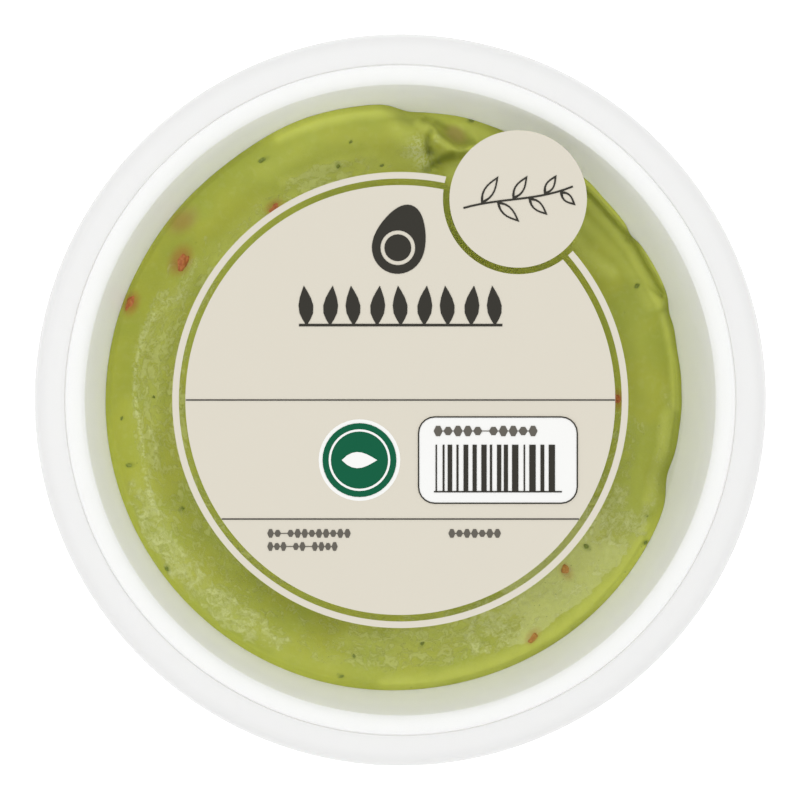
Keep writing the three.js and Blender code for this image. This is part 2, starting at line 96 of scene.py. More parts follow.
def noise_field(source: Callable[[Vector], float], x: Array, y: Array, level: float) -> Array:
    """Values of a noise over a plane.

    Args:
        source: Noise at a point.
        x: First coordinates.
        y: Second coordinates, in the same form.
        level: Third coordinate of all points.

    Returns:
        The values in the form of the coordinates.
    """
    return np.array([source(Vector((a, b, level))) for a, b in zip(x.ravel(), y.ravel())]).reshape(x.shape)


def linear(red: float, green: float, blue: float) -> Colour:
    """Linear colour of an sRGB colour given from 0 to 255."""

    def channel(value: float) -> float:
        """Linear value of one channel."""
        share = value / 255.0
        return share / 12.92 if share <= 0.04045 else ((share + 0.055) / 1.055) ** 2.4

    return channel(red), channel(green), channel(blue)


# Shader graphs


class Link:
    """A socket of a shader graph that takes part in Python arithmetic."""

    def __init__(self, graph: "Graph", socket: bpy.types.NodeSocket) -> None:
        """Keeps the graph and its output socket."""
        self.graph = graph
        self.socket = socket

    def _math(self, operation: str, *values: "Term") -> "Link":
        """Adds a Math node.

        Args:
            operation: Name of the Math node's operation.
            values: Its inputs, numbers or links.

        Returns:
            The node's result.
        """
        return self.graph.node("ShaderNodeMath", {"operation": operation}, dict(enumerate(values)))

    def __add__(self, other: "Term") -> "Link":
        """Sum."""
        return self._math("ADD", self, other)

    def __radd__(self, other: "Term") -> "Link":
        """Sum with a number on the left."""
        return self._math("ADD", other, self)

    def __sub__(self, other: "Term") -> "Link":
        """Difference."""
        return self._math("SUBTRACT", self, other)

    def __rsub__(self, other: "Term") -> "Link":
        """Difference from a number on the left."""
        return self._math("SUBTRACT", other, self)

    def __mul__(self, other: "Term") -> "Link":
        """Product."""
        return self._math("MULTIPLY", self, other)

    def __rmul__(self, other: "Term") -> "Link":
        """Product with a number on the left."""
        return self._math("MULTIPLY", other, self)

    def step(self, low: "Term", high: "Term") -> "Link":
        """Smooth step of the socket between two limits.

        Args:
            low: Value that gives 0.
            high: Value that gives 1.

        Returns:
            The stepped value.
        """
        return self.graph.node(
            "ShaderNodeMapRange",
            {"interpolation_type": "SMOOTHSTEP"},
            {"Value": self, "From Min": low, "From Max": high},
        )


Term = Union[Link, float]


class Graph:
    """The nodes of one material."""

    def __init__(self, name: str) -> None:
        """Makes an empty node material of that name."""
        self.material = bpy.data.materials.new(name)
        self.material.use_nodes = True
        self.tree = self.material.node_tree
        self.tree.nodes.clear()

    def node(
        self,
        kind: str,
        settings: dict[str, object] | None = None,
        inputs: dict[int | str, object] | None = None,
        output: int | str = 0,
    ) -> Link:
        """Adds one node.

        Args:
            kind: The node's type name.
            settings: Properties of the node, set before its sockets.
            inputs: Value or link of each socket, by name or place.
            output: Name or place of the output that is wanted.

        Returns:
            A link on that output.
        """
        node = self.tree.nodes.new(kind)
        for key, value in (settings or {}).items():
            setattr(node, key, value)
        for key, value in (inputs or {}).items():
            if isinstance(value, Link):
                self.tree.links.new(value.socket, node.inputs[key])
            elif isinstance(value, tuple) and node.inputs[key].type == "RGBA":
                node.inputs[key].default_value = (*value, 1.0)
            else:
                node.inputs[key].default_value = value
        return Link(self, node.outputs[output])

    def mix(self, share: Term, first: Link | Colour, second: Link | Colour) -> Link:
        """Mixes two colours.

        Args:
            share: 0 for the first colour, 1 for the second.
            first: Colour or link.
            second: Colour or link.

        Returns:
            The mixed colour.
        """
        return self.node("ShaderNodeMix", {"data_type": "RGBA"}, {0: share, 6: first, 7: second}, 2)

    def tint(self, colour: Link | Colour, factor: Link) -> Link:
        """Multiplies a colour by a grey value."""
        grey = self.node("ShaderNodeCombineColor", None, {0: factor, 1: factor, 2: factor})
        return self.node(
            "ShaderNodeMix", {"data_type": "RGBA", "blend_type": "MULTIPLY"}, {0: 1.0, 6: colour, 7: grey}, 2
        )

    def millimetres(self, stretch: tuple[float, float, float] = (1.0, 1.0, 1.0)) -> Link:
        """Object coordinates in millimetres, stretched along the axes by the given factors."""
        place = self.node("ShaderNodeTexCoord", output="Object")
        scale = tuple(1000.0 * factor for factor in stretch)
        return self.node("ShaderNodeVectorMath", {"operation": "MULTIPLY"}, {0: place, 1: scale})

    def axis_distance(self) -> Link:
        """Distance from the upright axis in millimetres."""
        flat = self.millimetres((1.0, 1.0, 0.0))
        return self.node("ShaderNodeVectorMath", {"operation": "LENGTH"}, {0: flat}, "Value")

    def grain(self, place: Link, grain: "Grain") -> Link:
        """Noise from 0 to 1, about 0.5 in the mean, at coordinates in millimetres."""
        inputs = {"Vector": place, "Scale": 1.0 / grain.size, "Detail": grain.layers, "Roughness": grain.weight}
        return self.node("ShaderNodeTexNoise", {"noise_dimensions": "3D"}, {**inputs, "Distortion": grain.twist})

    def cells(self, place: Link, density: float) -> Link:
        """Distance to the nearest of scattered points, of which a millimetre holds the given number."""
        return self.node("ShaderNodeTexVoronoi", {"feature": "F1"}, {"Vector": place, "Scale": density})

    def attribute(self, name: str) -> Link:
        """Number stored on the mesh's points under a name."""
        return self.node("ShaderNodeAttribute", {"attribute_name": name}, None, "Fac")

    def bump(self, height: Link, depth: float) -> Link:
        """Normal from a height of 0 to 1, with the depth between the two in millimetres."""
        return self.node("ShaderNodeBump", None, {"Height": height, "Distance": depth * MM})

    def finish(self, surface: Link) -> bpy.types.Material:
        """Wires the surface to the output and returns the material."""
        output = self.tree.nodes.new("ShaderNodeOutputMaterial")
        self.tree.links.new(surface.socket, output.inputs["Surface"])
        return self.material

    def principled(self, **sockets: object) -> bpy.types.Material:
        """Finishes the material with a Principled BSDF; socket names are written with _ for spaces."""
        inputs = {key.replace("_", " "): value for key, value in sockets.items()}
        return self.finish(self.node("ShaderNodeBsdfPrincipled", None, inputs))


# Finishes


@dataclass(frozen=True)
class Grain:
    """Noise: size of its coarsest features in millimetres, finer layers, their weight, and distortion."""

    size: float
    layers: float = 2.0
    weight: float = 0.5
    twist: float = 0.0


@dataclass(frozen=True)
class Spots:
    """Spots cut out of a grain, which spread as their amount grows.

    The level is where they start at no amount, the width that of their border, and the gain how far an
    amount of 1 lowers the level.
    """

    level: float
    width: float
    gain: float

    def cut(self, grain: Link, amount: Link) -> Link:
        """Share of the spots in a grain for an amount."""
        spread = self.gain * amount
        return grain.step(self.level - spread, self.level + self.width - spread)


@dataclass(frozen=True)
class TubPlastic:
    """White polypropylene, satin, a little translucent, with faint flow marks."""

    colour: Colour = (0.885, 0.879, 0.905)
    shade: Colour = (0.876, 0.87, 0.895)
    # Painted light: the inner wall whitened from the rim down towards the dip, where the dip shades it.
    low_wall: Colour = (0.97, 0.96, 1.0)
    outside: Colour = (0.868, 0.872, 0.86)
    # The sealing bead is whitened, most at its inner edge: partly the whiter look of the film sealed on it, partly
    # painted light.
    bead_inner: Colour = (0.945, 0.94, 0.948)
    bead: Colour = (0.92, 0.916, 0.923)
    # Painted shade: a thin dark ring in the groove at the bead's foot.
    groove: Colour = (0.66, 0.66, 0.65)
    # Painted shade: the flange greyed, its rolled edge darker and its outermost brink darkest.
    flange: Colour = (0.765, 0.765, 0.764)
    edge: Colour = (0.7, 0.7, 0.699)
    brink: Colour = (0.6, 0.6, 0.6)
    wall_foot: float = 34.126
    wall_slope: float = 0.2007
    wall_fade: Span = (25.0, 31.0)
    covered: Span = (16.5, 18.5)
    skin: Span = (0.35, 0.5)
    bead_edge: Span = (40.9, 40.96)
    bead_fade: Span = (40.93, 42.33)
    groove_start: Span = (43.52, 43.56)
    groove_end: Span = (43.64, 43.68)
    edge_fade: Span = (45.6, 47.5)
    brink_radii: Span = (47.42, 47.56)
    brink_heights: Span = (32.1, 32.4)
    roughness: float = 0.38

    def material(self) -> bpy.types.Material:
        """Makes the finish, with painted light on the lower inner wall and the sealing bead, and painted shade at the
        bead's foot, on the flange and on its edge.
        """
        graph = Graph("tub_plastic")
        place = graph.millimetres()
        cloud = graph.grain(place, Grain(9.0))
        flow = graph.grain(graph.millimetres((1.0, 1.0, 0.15)), Grain(1.6, 3.0))
        peel = graph.grain(place, Grain(0.35))
        radius = graph.axis_distance()
        height = graph.node("ShaderNodeSeparateXYZ", None, {0: place}, "Z")
        beyond = radius - self.wall_slope * height - self.wall_foot
        colour = graph.mix(cloud.step(0.3, 0.7), self.colour, self.shade)
        # Painted light on the lower inner wall.
        colour = graph.mix(height.step(*self.wall_fade), self.low_wall, colour)
        bead = graph.mix(radius.step(*self.bead_fade), self.bead_inner, self.bead)
        # Painted light on the bead; painted shade on the groove, the flange, its edge and the brink.
        for share, tone in (
            (beyond.step(*self.skin), self.outside),
            (1.0 - height.step(*self.covered), self.outside),
            (radius.step(*self.bead_edge), bead),
            (radius.step(*self.groove_start), self.groove),
            (radius.step(*self.groove_end), self.flange),
            (radius.step(*self.edge_fade), self.edge),
            (radius.step(*self.brink_radii) * height.step(*self.brink_heights), self.brink),
        ):
            colour = graph.mix(share, colour, tone)
        return graph.principled(
            Base_Color=colour,
            Roughness=self.roughness + 0.12 * (flow - 0.5),
            Normal=graph.bump(peel * 0.6 + flow * 0.4, 0.012),
            IOR=1.49,
            Specular_IOR_Level=0.4,
            Subsurface_Weight=1.0,
            Subsurface_Radius=(1.0, 1.0, 0.95),
            Subsurface_Scale=0.004,
        )


@dataclass(frozen=True)
class DipFinish:
    """Moist avocado dip: yellow-green, mottled, with pale froth, flakes, specks and stains round its bits.

    The fields that end in pale say how much each kind of froth whitens the dip. A mix is the stretch of a
    grain over which it sets in, an edge that of the distance from a cell's middle, and a zone that of the
    froth's own share.
    """

    body: Colour = linear(188, 195, 80)
    green: Colour = linear(176, 188, 80)
    yellow: Colour = linear(197, 199, 76)
    # Lighter colour of the dip: partly its paler smears, partly painted light.
    light: Colour = linear(214, 221, 106)
    froth: Colour = linear(227, 232, 158)
    # Lighter edge colour of the dip: partly its thin edge layer, partly painted light.
    rim: Colour = linear(216, 223, 98)
    shadow: Colour = linear(126, 137, 34)
    pepper: Colour = linear(188, 120, 60)
    herb: Colour = linear(130, 146, 60)
    bruise: Colour = linear(180, 156, 92)
    patch_grain: Grain = Grain(7.0, 2.0, 0.5, 0.4)
    cloud_grain: Grain = Grain(2.6, 3.0, 0.55)
    fine_grain: Grain = Grain(0.4, 3.0, 0.6)
    torn_grain: Grain = Grain(2.1, 8.0, 0.72, 0.9)
    crumb_grain: Grain = Grain(0.75, 6.0, 0.74, 0.6)
    flake_grain: Grain = Grain(1.1, 8.0, 0.76, 0.9)
    curd_grain: Grain = Grain(0.9, 4.0, 0.7, 0.4)
    torn_spots: Spots = Spots(0.7, 0.08, 0.38)
    crumb_spots: Spots = Spots(0.6, 0.05, 0.27)
    flake_spots: Spots = Spots(0.62, 0.035, 0.14)
    patch_mix: Span = (0.36, 0.66)
    flake_zone: Span = (0.0, 0.3)
    fleck_mix: Span = (0.42, 0.56)
    curd_mix: Span = (0.52, 0.62)
    bubble_density: float = 2.1
    bubble_edge: Span = (0.1, 0.22)
    bubble_mix: Span = (0.45, 0.6)
    pore_density: float = 0.95
    pore_edge: Span = (0.06, 0.12)
    pore_zone: Span = (0.7, 0.95)
    speck_density: float = 0.42
    speck_edge: Span = (0.035, 0.065)
    comb_round: float = 0.8
    comb_out: float = 0.9
    evenness: float = 0.6
    sheet_pale: float = 0.36
    zone_pale: float = 0.2
    flake_pale: float = 0.34
    bubble_pale: float = 0.2
    fleck_pale: float = 0.85
    curd_pale: float = 0.08
    speck_share: float = 0.4
    pore_share: float = 0.45
    # How far the painted shade stored on the points darkens the colour; negative values give painted light.
    painted_shading_strength: float = 0.16

    def material(self) -> bpy.types.Material:
        """Makes the finish. The mesh carries shares of each tone as numbers on its points."""
        graph = Graph("guacamole_dip")
        place = graph.millimetres()
        share, scatter = graph.attribute("froth"), graph.attribute("flakes")
        patches = graph.grain(place, self.patch_grain)
        clouds = graph.grain(place, self.cloud_grain)
        fine = graph.grain(place, self.fine_grain)
        torn = graph.grain(place, self.torn_grain)
        outward = graph.node("ShaderNodeCombineXYZ", None, {2: self.comb_out * graph.axis_distance()})
        around = graph.millimetres((self.comb_round, self.comb_round, 0.0))
        combed = graph.node("ShaderNodeVectorMath", {"operation": "ADD"}, {0: around, 1: outward})

        sheet = self.torn_spots.cut(torn, share)
        sheet = sheet * self.crumb_spots.cut(graph.grain(place, self.crumb_grain), share)
        flakes = self.flake_spots.cut(graph.grain(combed, self.flake_grain), scatter) * scatter.step(*self.flake_zone)
        bubbles = 1.0 - graph.cells(place, self.bubble_density).step(*self.bubble_edge)
        bubbles = bubbles * scatter * torn.step(*self.bubble_mix)
        pores = 1.0 - graph.cells(place, self.pore_density).step(*self.pore_edge)
        pores = pores * sheet * share.step(*self.pore_zone)
        specks = 1.0 - graph.cells(place, self.speck_density).step(*self.speck_edge)
        flecks = graph.attribute("fleck") * fine.step(*self.fleck_mix)
        curds = graph.grain(place, self.curd_grain).step(*self.curd_mix)
        pale = self.sheet_pale * sheet + self.zone_pale * share + self.flake_pale * flakes
        pale = pale + self.bubble_pale * bubbles + self.fleck_pale * flecks + self.curd_pale * curds

        colour = graph.mix(patches.step(*self.patch_mix), self.green, self.yellow)
        # The light and rim tones are partly painted light; the shadow tone is painted shadow.
        for amount, tone in (
            (self.evenness, self.body),
            (graph.attribute("light") * (0.75 + 0.5 * clouds), self.light),
            (graph.attribute("rim"), self.rim),
            (pale, self.froth),
            (graph.attribute("bruise"), self.bruise),
            (graph.attribute("pepper"), self.pepper),
            (graph.attribute("herb"), self.herb),
            (specks * self.speck_share + self.pore_share * pores, self.herb),
            (graph.attribute("shadow"), self.shadow),
        ):
            colour = graph.mix(amount, colour, tone)
        # Painted shade in the creases and at the wall's brink, painted light where the stored value is negative.
        shade = 1.0 - self.painted_shading_strength * graph.attribute("painted_shading")
        relief = 0.3 * flakes + 0.2 * sheet + 0.35 * fine + 0.35 * clouds
        return graph.principled(
            Base_Color=graph.tint(colour, shade * (0.93 + 0.08 * clouds + 0.06 * fine)),
            Roughness=0.52 + 0.1 * sheet,
            Normal=graph.bump(relief, 0.08),
            IOR=1.4,
            Specular_IOR_Level=0.16,
            Subsurface_Weight=0.25,
            Subsurface_Radius=(1.0, 1.0, 0.25),
            Subsurface_Scale=0.0012,
        )


@dataclass(frozen=True)
class BitFinish:
    """Moist chopped pepper or herb, with painted shade in its hollows."""

    name: str
    colour: Colour
    shade: Colour
    grain: Grain = Grain(0.4, 3.0, 0.6)

    def material(self) -> bpy.types.Material:
        """Makes the finish."""
        graph = Graph(self.name)
        cloud = graph.grain(graph.millimetres(), self.grain)
        return graph.principled(
            Base_Color=graph.mix(cloud.step(0.3, 0.7), self.shade, self.colour),
            Roughness=0.4 + 0.2 * cloud,
            Normal=graph.bump(cloud, 0.05),
            Specular_IOR_Level=0.3,
        )


@dataclass(frozen=True)
class FilmFinish:
    """Clear thin film: see-through, with a faint gloss that grows at a slant."""

    tint: Colour = (0.996, 0.998, 0.994)
    ior: float = 1.12
    roughness: float = 0.15

    def material(self) -> bpy.types.Material:
        """Makes the finish."""
        graph = Graph("sealing_film")
        normal = graph.bump(graph.grain(graph.millimetres(), Grain(14.0)), 0.08)
        clear = graph.node("ShaderNodeBsdfTransparent", None, {"Color": self.tint})
        gloss = graph.node(
            "ShaderNodeBsdfAnisotropic",
            None,
            {"Color": (1.0, 1.0, 1.0), "Roughness": self.roughness, "Normal": normal},
        )
        back = graph.node("ShaderNodeNewGeometry", output="Backfacing")
        share = graph.node("ShaderNodeFresnel", None, {"IOR": self.ior, "Normal": normal}) * (1.0 - back)
        return graph.finish(graph.node("ShaderNodeMixShader", None, {0: share, 1: clear, 2: gloss}))


@dataclass(frozen=True)
class InkFinish:
    """Matt print on film, with a faint mottle."""

    name: str
    colour: Colour
    mottle: float = 0.02
    roughness: float = 0.55

    def material(self) -> bpy.types.Material:
        """Makes the finish."""
        graph = Graph(self.name)
        place = graph.millimetres()
        cloud = graph.grain(place, Grain(5.0))
        dots = graph.grain(place, Grain(0.22, 1.0))
        factor = 1.0 - self.mottle + self.mottle * (cloud + dots)
        return graph.principled(
            Base_Color=graph.tint(self.colour, factor),
            Roughness=self.roughness + 0.1 * (dots - 0.5),
            Normal=graph.bump(dots, 0.004),
            Specular_IOR_Level=0.12,
        )


class Ink(Enum):
    """The inks of the label."""

    CREAM = InkFinish("label_cream", linear(227, 221, 206), 0.012, 0.55)
    DARK = InkFinish("ink_dark", linear(56, 54, 48), 0.08)
    FAINT = InkFinish("ink_dark_fine", linear(104, 100, 92), 0.08)
    GREEN = InkFinish("ink_green", linear(5, 96, 65), 0.06)
    WHITE = InkFinish("ink_white", linear(252, 252, 250), 0.01)


# Meshes


def make_object(name: str, mesh: bpy.types.Mesh, material: bpy.types.Material) -> bpy.types.Object:
    """Links a mesh as a piece that rides on the part.

    Args:
        name: Name of the piece.
        mesh: Its mesh, in metres.
        material: Its finish.

    Returns:
        The new object.
    """
    piece = bpy.data.objects.new(name, mesh)
    bpy.context.scene.collection.objects.link(piece)
    mesh.materials.clear()
    mesh.materials.append(material)
    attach(piece, BODY)
    return piece


def mesh_from(name: str, points: Array, faces: Sequence[Sequence[int]]) -> bpy.types.Mesh:
    """Makes a mesh whose faces are shaded smooth.

    Args:
        name: Name of the mesh.
        points: Corner points in millimetres.
        faces: Corner numbers of each face.

    Returns:
        The mesh, in metres.
    """
    mesh = bpy.data.meshes.new(name)
    mesh.from_pydata((np.asarray(points, float) * MM).tolist(), [], [list(face) for face in faces])
    mesh.polygons.foreach_set("use_smooth", [True] * len(mesh.polygons))
    mesh.update()
    return mesh


def rounded_profile(corners: Iterable[tuple[float, float, float]], steps: int = 7) -> list[Point2]:
    """Rounds the corners of a profile that starts and ends on the axis.

    Args:
        corners: Radius, height and rounding of each corner.
        steps: Points on each rounding.

    Returns:
        Points of the profile.
    """
    corners = list(corners)
    profile: list[Point2] = []
    for i, (r, z, rounding) in enumerate(corners):
        if rounding <= 0.0 or i in (0, len(corners) - 1):
            profile.append((r, z))
            continue
        here = np.array((r, z))
        before = np.array(corners[i - 1][:2]) - here
        after = np.array(corners[i + 1][:2]) - here
        lengths = np.linalg.norm(before), np.linalg.norm(after)
        before, after = before / lengths[0], after / lengths[1]
        half = math.acos(float(np.clip(before @ after, -1.0, 1.0))) / 2.0
        setback = min(rounding / math.tan(half), 0.48 * lengths[0], 0.48 * lengths[1])
        start, end = here + before * setback, here + after * setback
        for k in range(steps + 1):
            t = k / steps
            profile.append(tuple((1 - t) ** 2 * start + 2 * t * (1 - t) * here + t * t * end))
    return profile


def ring_faces(rows: int, segments: int) -> list[tuple[int, ...]]:
    """Faces of a closed skin of rings between two end points.

    Args:
        rows: Number of rings.
        segments: Points on each ring.

    Returns:
        Corner numbers, which count the first end point, the rings in order and the last end point.
    """
    faces: list[tuple[int, ...]] = []
    last = 1 + (rows - 1) * segments
    for i in range(segments):
        j = (i + 1) % segments
        faces.append((0, 1 + i, 1 + j))
        faces += [(a + i, a + segments + i, a + segments + j, a + j) for a in range(1, last, segments)]
        faces.append((last + i, last + segments, last + j))
    return faces


def lathe(name: str, profile: Sequence[Point2], segments: int) -> bpy.types.Mesh:
    """Turns a profile round the axis.

    Args:
        name: Name of the mesh.
        profile: Radius and height of each point, from the axis back to the axis.
        segments: Number of steps round the axis.

    Returns:
        The closed mesh.
    """
    angles = np.linspace(0.0, 2.0 * math.pi, segments, endpoint=False)
    inner = profile[1:-1]
    points = [(0.0, 0.0, profile[0][1])]
    for r, z in inner:
        points.extend(zip(r * np.cos(angles), r * np.sin(angles), np.full(segments, z)))
    points.append((0.0, 0.0, profile[-1][1]))
    return mesh_from(name, np.array(points), ring_faces(len(inner), segments))


def arc(centre: Point2, radius: float, start: float, end: float, step: float = 1.0) -> list[Point2]:
    """Points on an arc.

    Args:
        centre: Centre of the arc.
        radius: Its radius.
        start: First angle in degrees.
        end: Last angle in degrees.
        step: Largest step between points in degrees.

    Returns:
        The points, both ends included.
    """
    count = max(1, round(abs(end - start) / step))
    angles = np.radians(np.linspace(start, end, count + 1))
    return [(centre[0] + radius * math.cos(a), centre[1] + radius * math.sin(a)) for a in angles]


def slab(name: str, outlines: Sequence[Sequence[Point2]], low: float, high: float) -> bpy.types.Mesh:
    """Makes thin flat solids from outlines; an outline inside another is a hole.

    Args:
        name: Name of the mesh.
        outlines: Closed outlines in millimetres.
        low: Height of the lower face.
        high: Height of the upper face.

    Returns:
        The closed mesh.
    """
    curve = bpy.data.curves.new(name, "CURVE")
    curve.dimensions = "2D"
    curve.fill_mode = "BOTH"
    curve.extrude = (high - low) / 2.0 * MM
    for outline in outlines:
        spline = curve.splines.new("POLY")
        spline.points.add(len(outline) - 1)
        spline.use_cyclic_u = True
        for point, (x, y) in zip(spline.points, outline):
            point.co = (x * MM, y * MM, 0.0, 1.0)
    holder = bpy.data.objects.new(name + "_curve", curve)
    bpy.context.scene.collection.objects.link(holder)
    bpy.context.view_layer.update()
    shape = holder.evaluated_get(bpy.context.evaluated_depsgraph_get())
    mesh = bpy.data.meshes.new_from_object(shape)
    mesh.name = name
    bpy.data.objects.remove(holder)
    bpy.data.curves.remove(curve)
    form = bmesh.new()
    form.from_mesh(mesh)
    bmesh.ops.remove_doubles(form, verts=form.verts, dist=1e-7)
    bmesh.ops.recalc_face_normals(form, faces=form.faces)
    bmesh.ops.translate(form, vec=Vector((0.0, 0.0, (low + high) / 2.0 * MM)), verts=form.verts)
    for face in form.faces:
        face.smooth = False
    form.to_mesh(mesh)
    form.free()
    return mesh


# Tub


@dataclass
class Tub:
    """Round white tub with a sealing bead, a sloping flange and a rolled edge."""

    outer_radius: float = 47.6
    height: float = 34.0
    mouth_radius: float = 40.95
    wall_slope: float = 0.2007
    wall: float = 0.85
    floor_top: float = 1.8
    floor_fillet: float = 1.6
    bead_outer: float = 43.42
    bead_foot: float = 43.64
    bead_height: float = 0.5
    flange_fall: float = 0.25
    edge_round: float = 1.1
    skirt_drop: float = 4.0
    skirt_wall: float = 0.85
    film_gap: float = 0.04
    foot_outer: float = 33.4
    foot_inner: float = 31.4
    foot_recess: float = 0.8
    segments: int = 360
    finish: TubPlastic = field(default_factory=TubPlastic)

    def wall_radius(self, z: Array | float) -> Array | float:
        """Radius of the inner wall at a height."""
        return self.mouth_radius - (self.height - z) * self.wall_slope

    def corners(self) -> list[tuple[float, float, float]]:
        """Corners of the tub's section: radius, height and rounding."""
        top, floor = self.height, self.floor_top
        flange_top = top - self.bead_height
        edge_top = flange_top - self.flange_fall
        under = edge_top - self.wall - 0.25
        skirt_end = top - self.skirt_drop
        skirt_inner = self.outer_radius - self.skirt_wall
        base = 0.55
        return [
            (0.0, floor, 0.0),
            (self.wall_radius(floor), floor, self.floor_fillet),
            (self.mouth_radius, top - self.film_gap, 0.14),
            (self.bead_outer, top - self.film_gap, 0.12),
            (self.bead_foot - 0.08, flange_top - 0.12, 0.04),
            (self.bead_foot + 0.06, flange_top, 0.05),
            (self.outer_radius, edge_top, self.edge_round),
            (self.outer_radius, skirt_end, 0.25),
            (skirt_inner, skirt_end, 0.25),
            (skirt_inner, under, 0.5),
            (self.wall_radius(under) + self.wall + 0.12, under, 0.7),
            (self.wall_radius(base) + self.wall, base, 1.5),
            (self.foot_outer + 0.25, 0.35, 0.2),
            (self.foot_outer, 0.0, 0.25),
            (self.foot_inner, 0.0, 0.25),
            (self.foot_inner - 0.5, self.foot_recess, 0.3),
            (0.0, self.foot_recess, 0.0),
        ]

    def build(self) -> bpy.types.Object:
        """Builds and dresses the tub."""
        profile = rounded_profile(self.corners())
        dense: list[Point2] = [profile[0]]
        for (r0, z0), (r1, z1) in zip(profile, profile[1:]):
            pieces = max(1, int(math.hypot(r1 - r0, z1 - z0) / 4.0))
            dense += [(r0 + (r1 - r0) * k / pieces, z0 + (z1 - z0) * k / pieces) for k in range(1, pieces + 1)]
        mesh = lathe("tub_shell", dense, self.segments)
        mesh.flip_normals()
        piece = make_object("tub_shell", mesh, self.finish.material())
        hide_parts("tub")
        return piece


# Guacamole


@dataclass(frozen=True)
class EdgeWave:
    """Rise of the dip's edge along the wall: angle and half width in degrees, rise in millimetres."""

    at: float
    half: float
    rise: float


@dataclass(frozen=True)
class Band:
    """Ridge or groove that follows the wall, placed in parts of the dip's radius."""

    start: float
    end: float
    at: float
    half: float
    rise: float


@dataclass(frozen=True)
class Stroke:
    """Ridge, groove or streak of colour with soft sides along a line; strength is a rise or a share."""

    line: tuple[Point2, ...]
    half: float
    strength: float


# Tone that follows a line: distance to the left of it, half width and share.
LineTone = tuple[float, float, float]


@dataclass(frozen=True)
class Crease:
    """Step in the surface: left of the line the dip rolls over, right of it the surface lies lower.

    The drop is the step's depth, the roll the width of the rounded edge, the crest a rise behind it, and
    the reach the width of the low side. The fade is the length at each end of the line over which the step
    dies out, and low_fade the same for the low side from the distance low_from. The dark tone is painted
    shade and the light tone is painted light, partly the dip's paler smears; both follow the line.
    """

    line: tuple[Point2, ...]
    drop: float
    roll: float
    reach: float
    fade: float = 1.5
    crest: float = 0.0
    low_fade: float = 2.0
    low_from: float = 1.5
    dark: LineTone = (0.0, 1.0, 0.0)
    light: LineTone = (0.0, 1.0, 0.0)

    def ends(self, along: Array, fade: Array | float) -> Array:
        """Share of the crease at lengths along its line, which fades out at both ends."""
        length = sum(math.dist(a, b) for a, b in zip(self.line, self.line[1:]))
        return ease(along / fade) * ease((length - along) / fade)


@dataclass(frozen=True)
class RimTone:
    """Tone of the dip's edge at the wall: angle and half width in degrees, and share of the lighter edge tone, partly
    painted light; a negative share is painted shade.
    """

    at: float
    half: float
    share: float


@dataclass(frozen=True)
class Bit:
    """Bit in the dip: place, half length, half width and turn in degrees."""

    at: Point2
    long: float
    wide: float
    turn: float
    strength: float = 1.0


@dataclass(frozen=True)
class Stain:
    """Tone round bits: its name in the finish, the bits, its size in parts of a bit, and its share."""

    name: str
    bits: tuple[Bit, ...]
    spread: float
    share: float


@dataclass(frozen=True)
class FrothPatch:
    """Zone of pale froth: from and to angle, from and to part of the radius, share of sheets and of flakes."""

    start: float
    end: float
    inner: float
    outer: float
    share: float
    flakes: float


EDGE_WAVES = (
    EdgeWave(1.8, 2.5, -0.37),
    EdgeWave(10.2, 7.2, -1.88),
    EdgeWave(18.0, 2.3, -1.3),
    EdgeWave(23.8, 7.9, 1.02),
    EdgeWave(35.6, 1.8, -1.36),
    EdgeWave(49.5, 3.4, 0.93),
    EdgeWave(85.0, 5.6, -2.49),
    EdgeWave(88.8, 3.0, -1.88),
    EdgeWave(89.6, 11.3, 2.81),
    EdgeWave(108.0, 13.2, 3.09),
    EdgeWave(152.0, 6.7, -0.26),
    EdgeWave(207.0, 26.6, 0.65),
    EdgeWave(247.9, 23.8, 0.86),
    EdgeWave(290.0, 30.0, -0.39),
    EdgeWave(307.7, 29.3, 0.78),
    EdgeWave(344.0, 4.1, -2.64),
    EdgeWave(351.5, 11.1, -2.59),
)
BANDS = (
    Band(-15, 8, 0.982, 0.006, -0.25),
    Band(-46, -27, 0.984, 0.006, -0.25),
)
STROKES = (
    Stroke(((1.2, 35.8), (3.2, 36.0)), 1.6, 0.5),
    Stroke(((4.18, 35.52), (3.65, 34.6), (3.59, 33.54), (3.92, 32.75)), 0.38, -1.0),
    Stroke(((3.92, 32.75), (4.31, 31.96), (4.51, 31.3)), 0.6, -1.2),
    Stroke(((4.4, 34.9), (5.0, 33.9), (6.0, 33.0), (7.6, 32.9), (9.6, 33.3)), 0.9, 0.8),
)
CREASES = (
    Crease(
        (
            (22.8, 29.1), (25.0, 26.9), (26.2, 25.7), (27.6, 24.1), (29.0, 22.6), (30.0, 21.7), (30.9, 20.55),
            (31.8, 18.85), (32.7, 17.25), (33.4, 16.2), (33.9, 15.1), (34.6, 14.2), (35.2, 13.3),
        ),
        drop=1.1, roll=0.7, reach=5.5, fade=1.0, crest=0.2, low_fade=5.0,
        dark=(0.35, 0.35, 0.42), light=(1.2, 0.6, 2.0),
    ),
    Crease(
        (
            (10.5, 34.05), (9.2, 33.8), (8.5, 33.5), (7.85, 33.35), (7.3, 33.7), (6.8, 34.1), (6.3, 34.4),
            (5.7, 34.9), (5.2, 35.3), (5.0, 35.7), (4.75, 36.1), (4.4, 36.5), (4.0, 36.8), (3.5, 36.9),
            (2.9, 37.0), (2.55, 37.5),
        ),
        drop=1.0, roll=0.75, reach=3.2, fade=1.2, crest=0.4,
        dark=(-0.4, 0.45, 0.2), light=(0.55, 0.5, 1.3),
    ),
    Crease(
        (
            (4.4, 30.6), (4.81, 30.96), (5.57, 31.34), (6.08, 31.66), (6.7, 31.79), (7.47, 32.04), (8.22, 32.22),
            (9.6, 32.7),
        ),
        drop=1.1, roll=1.2, reach=3.5, fade=1.2,
        dark=(0.45, 0.6, 0.25),
    ),
)
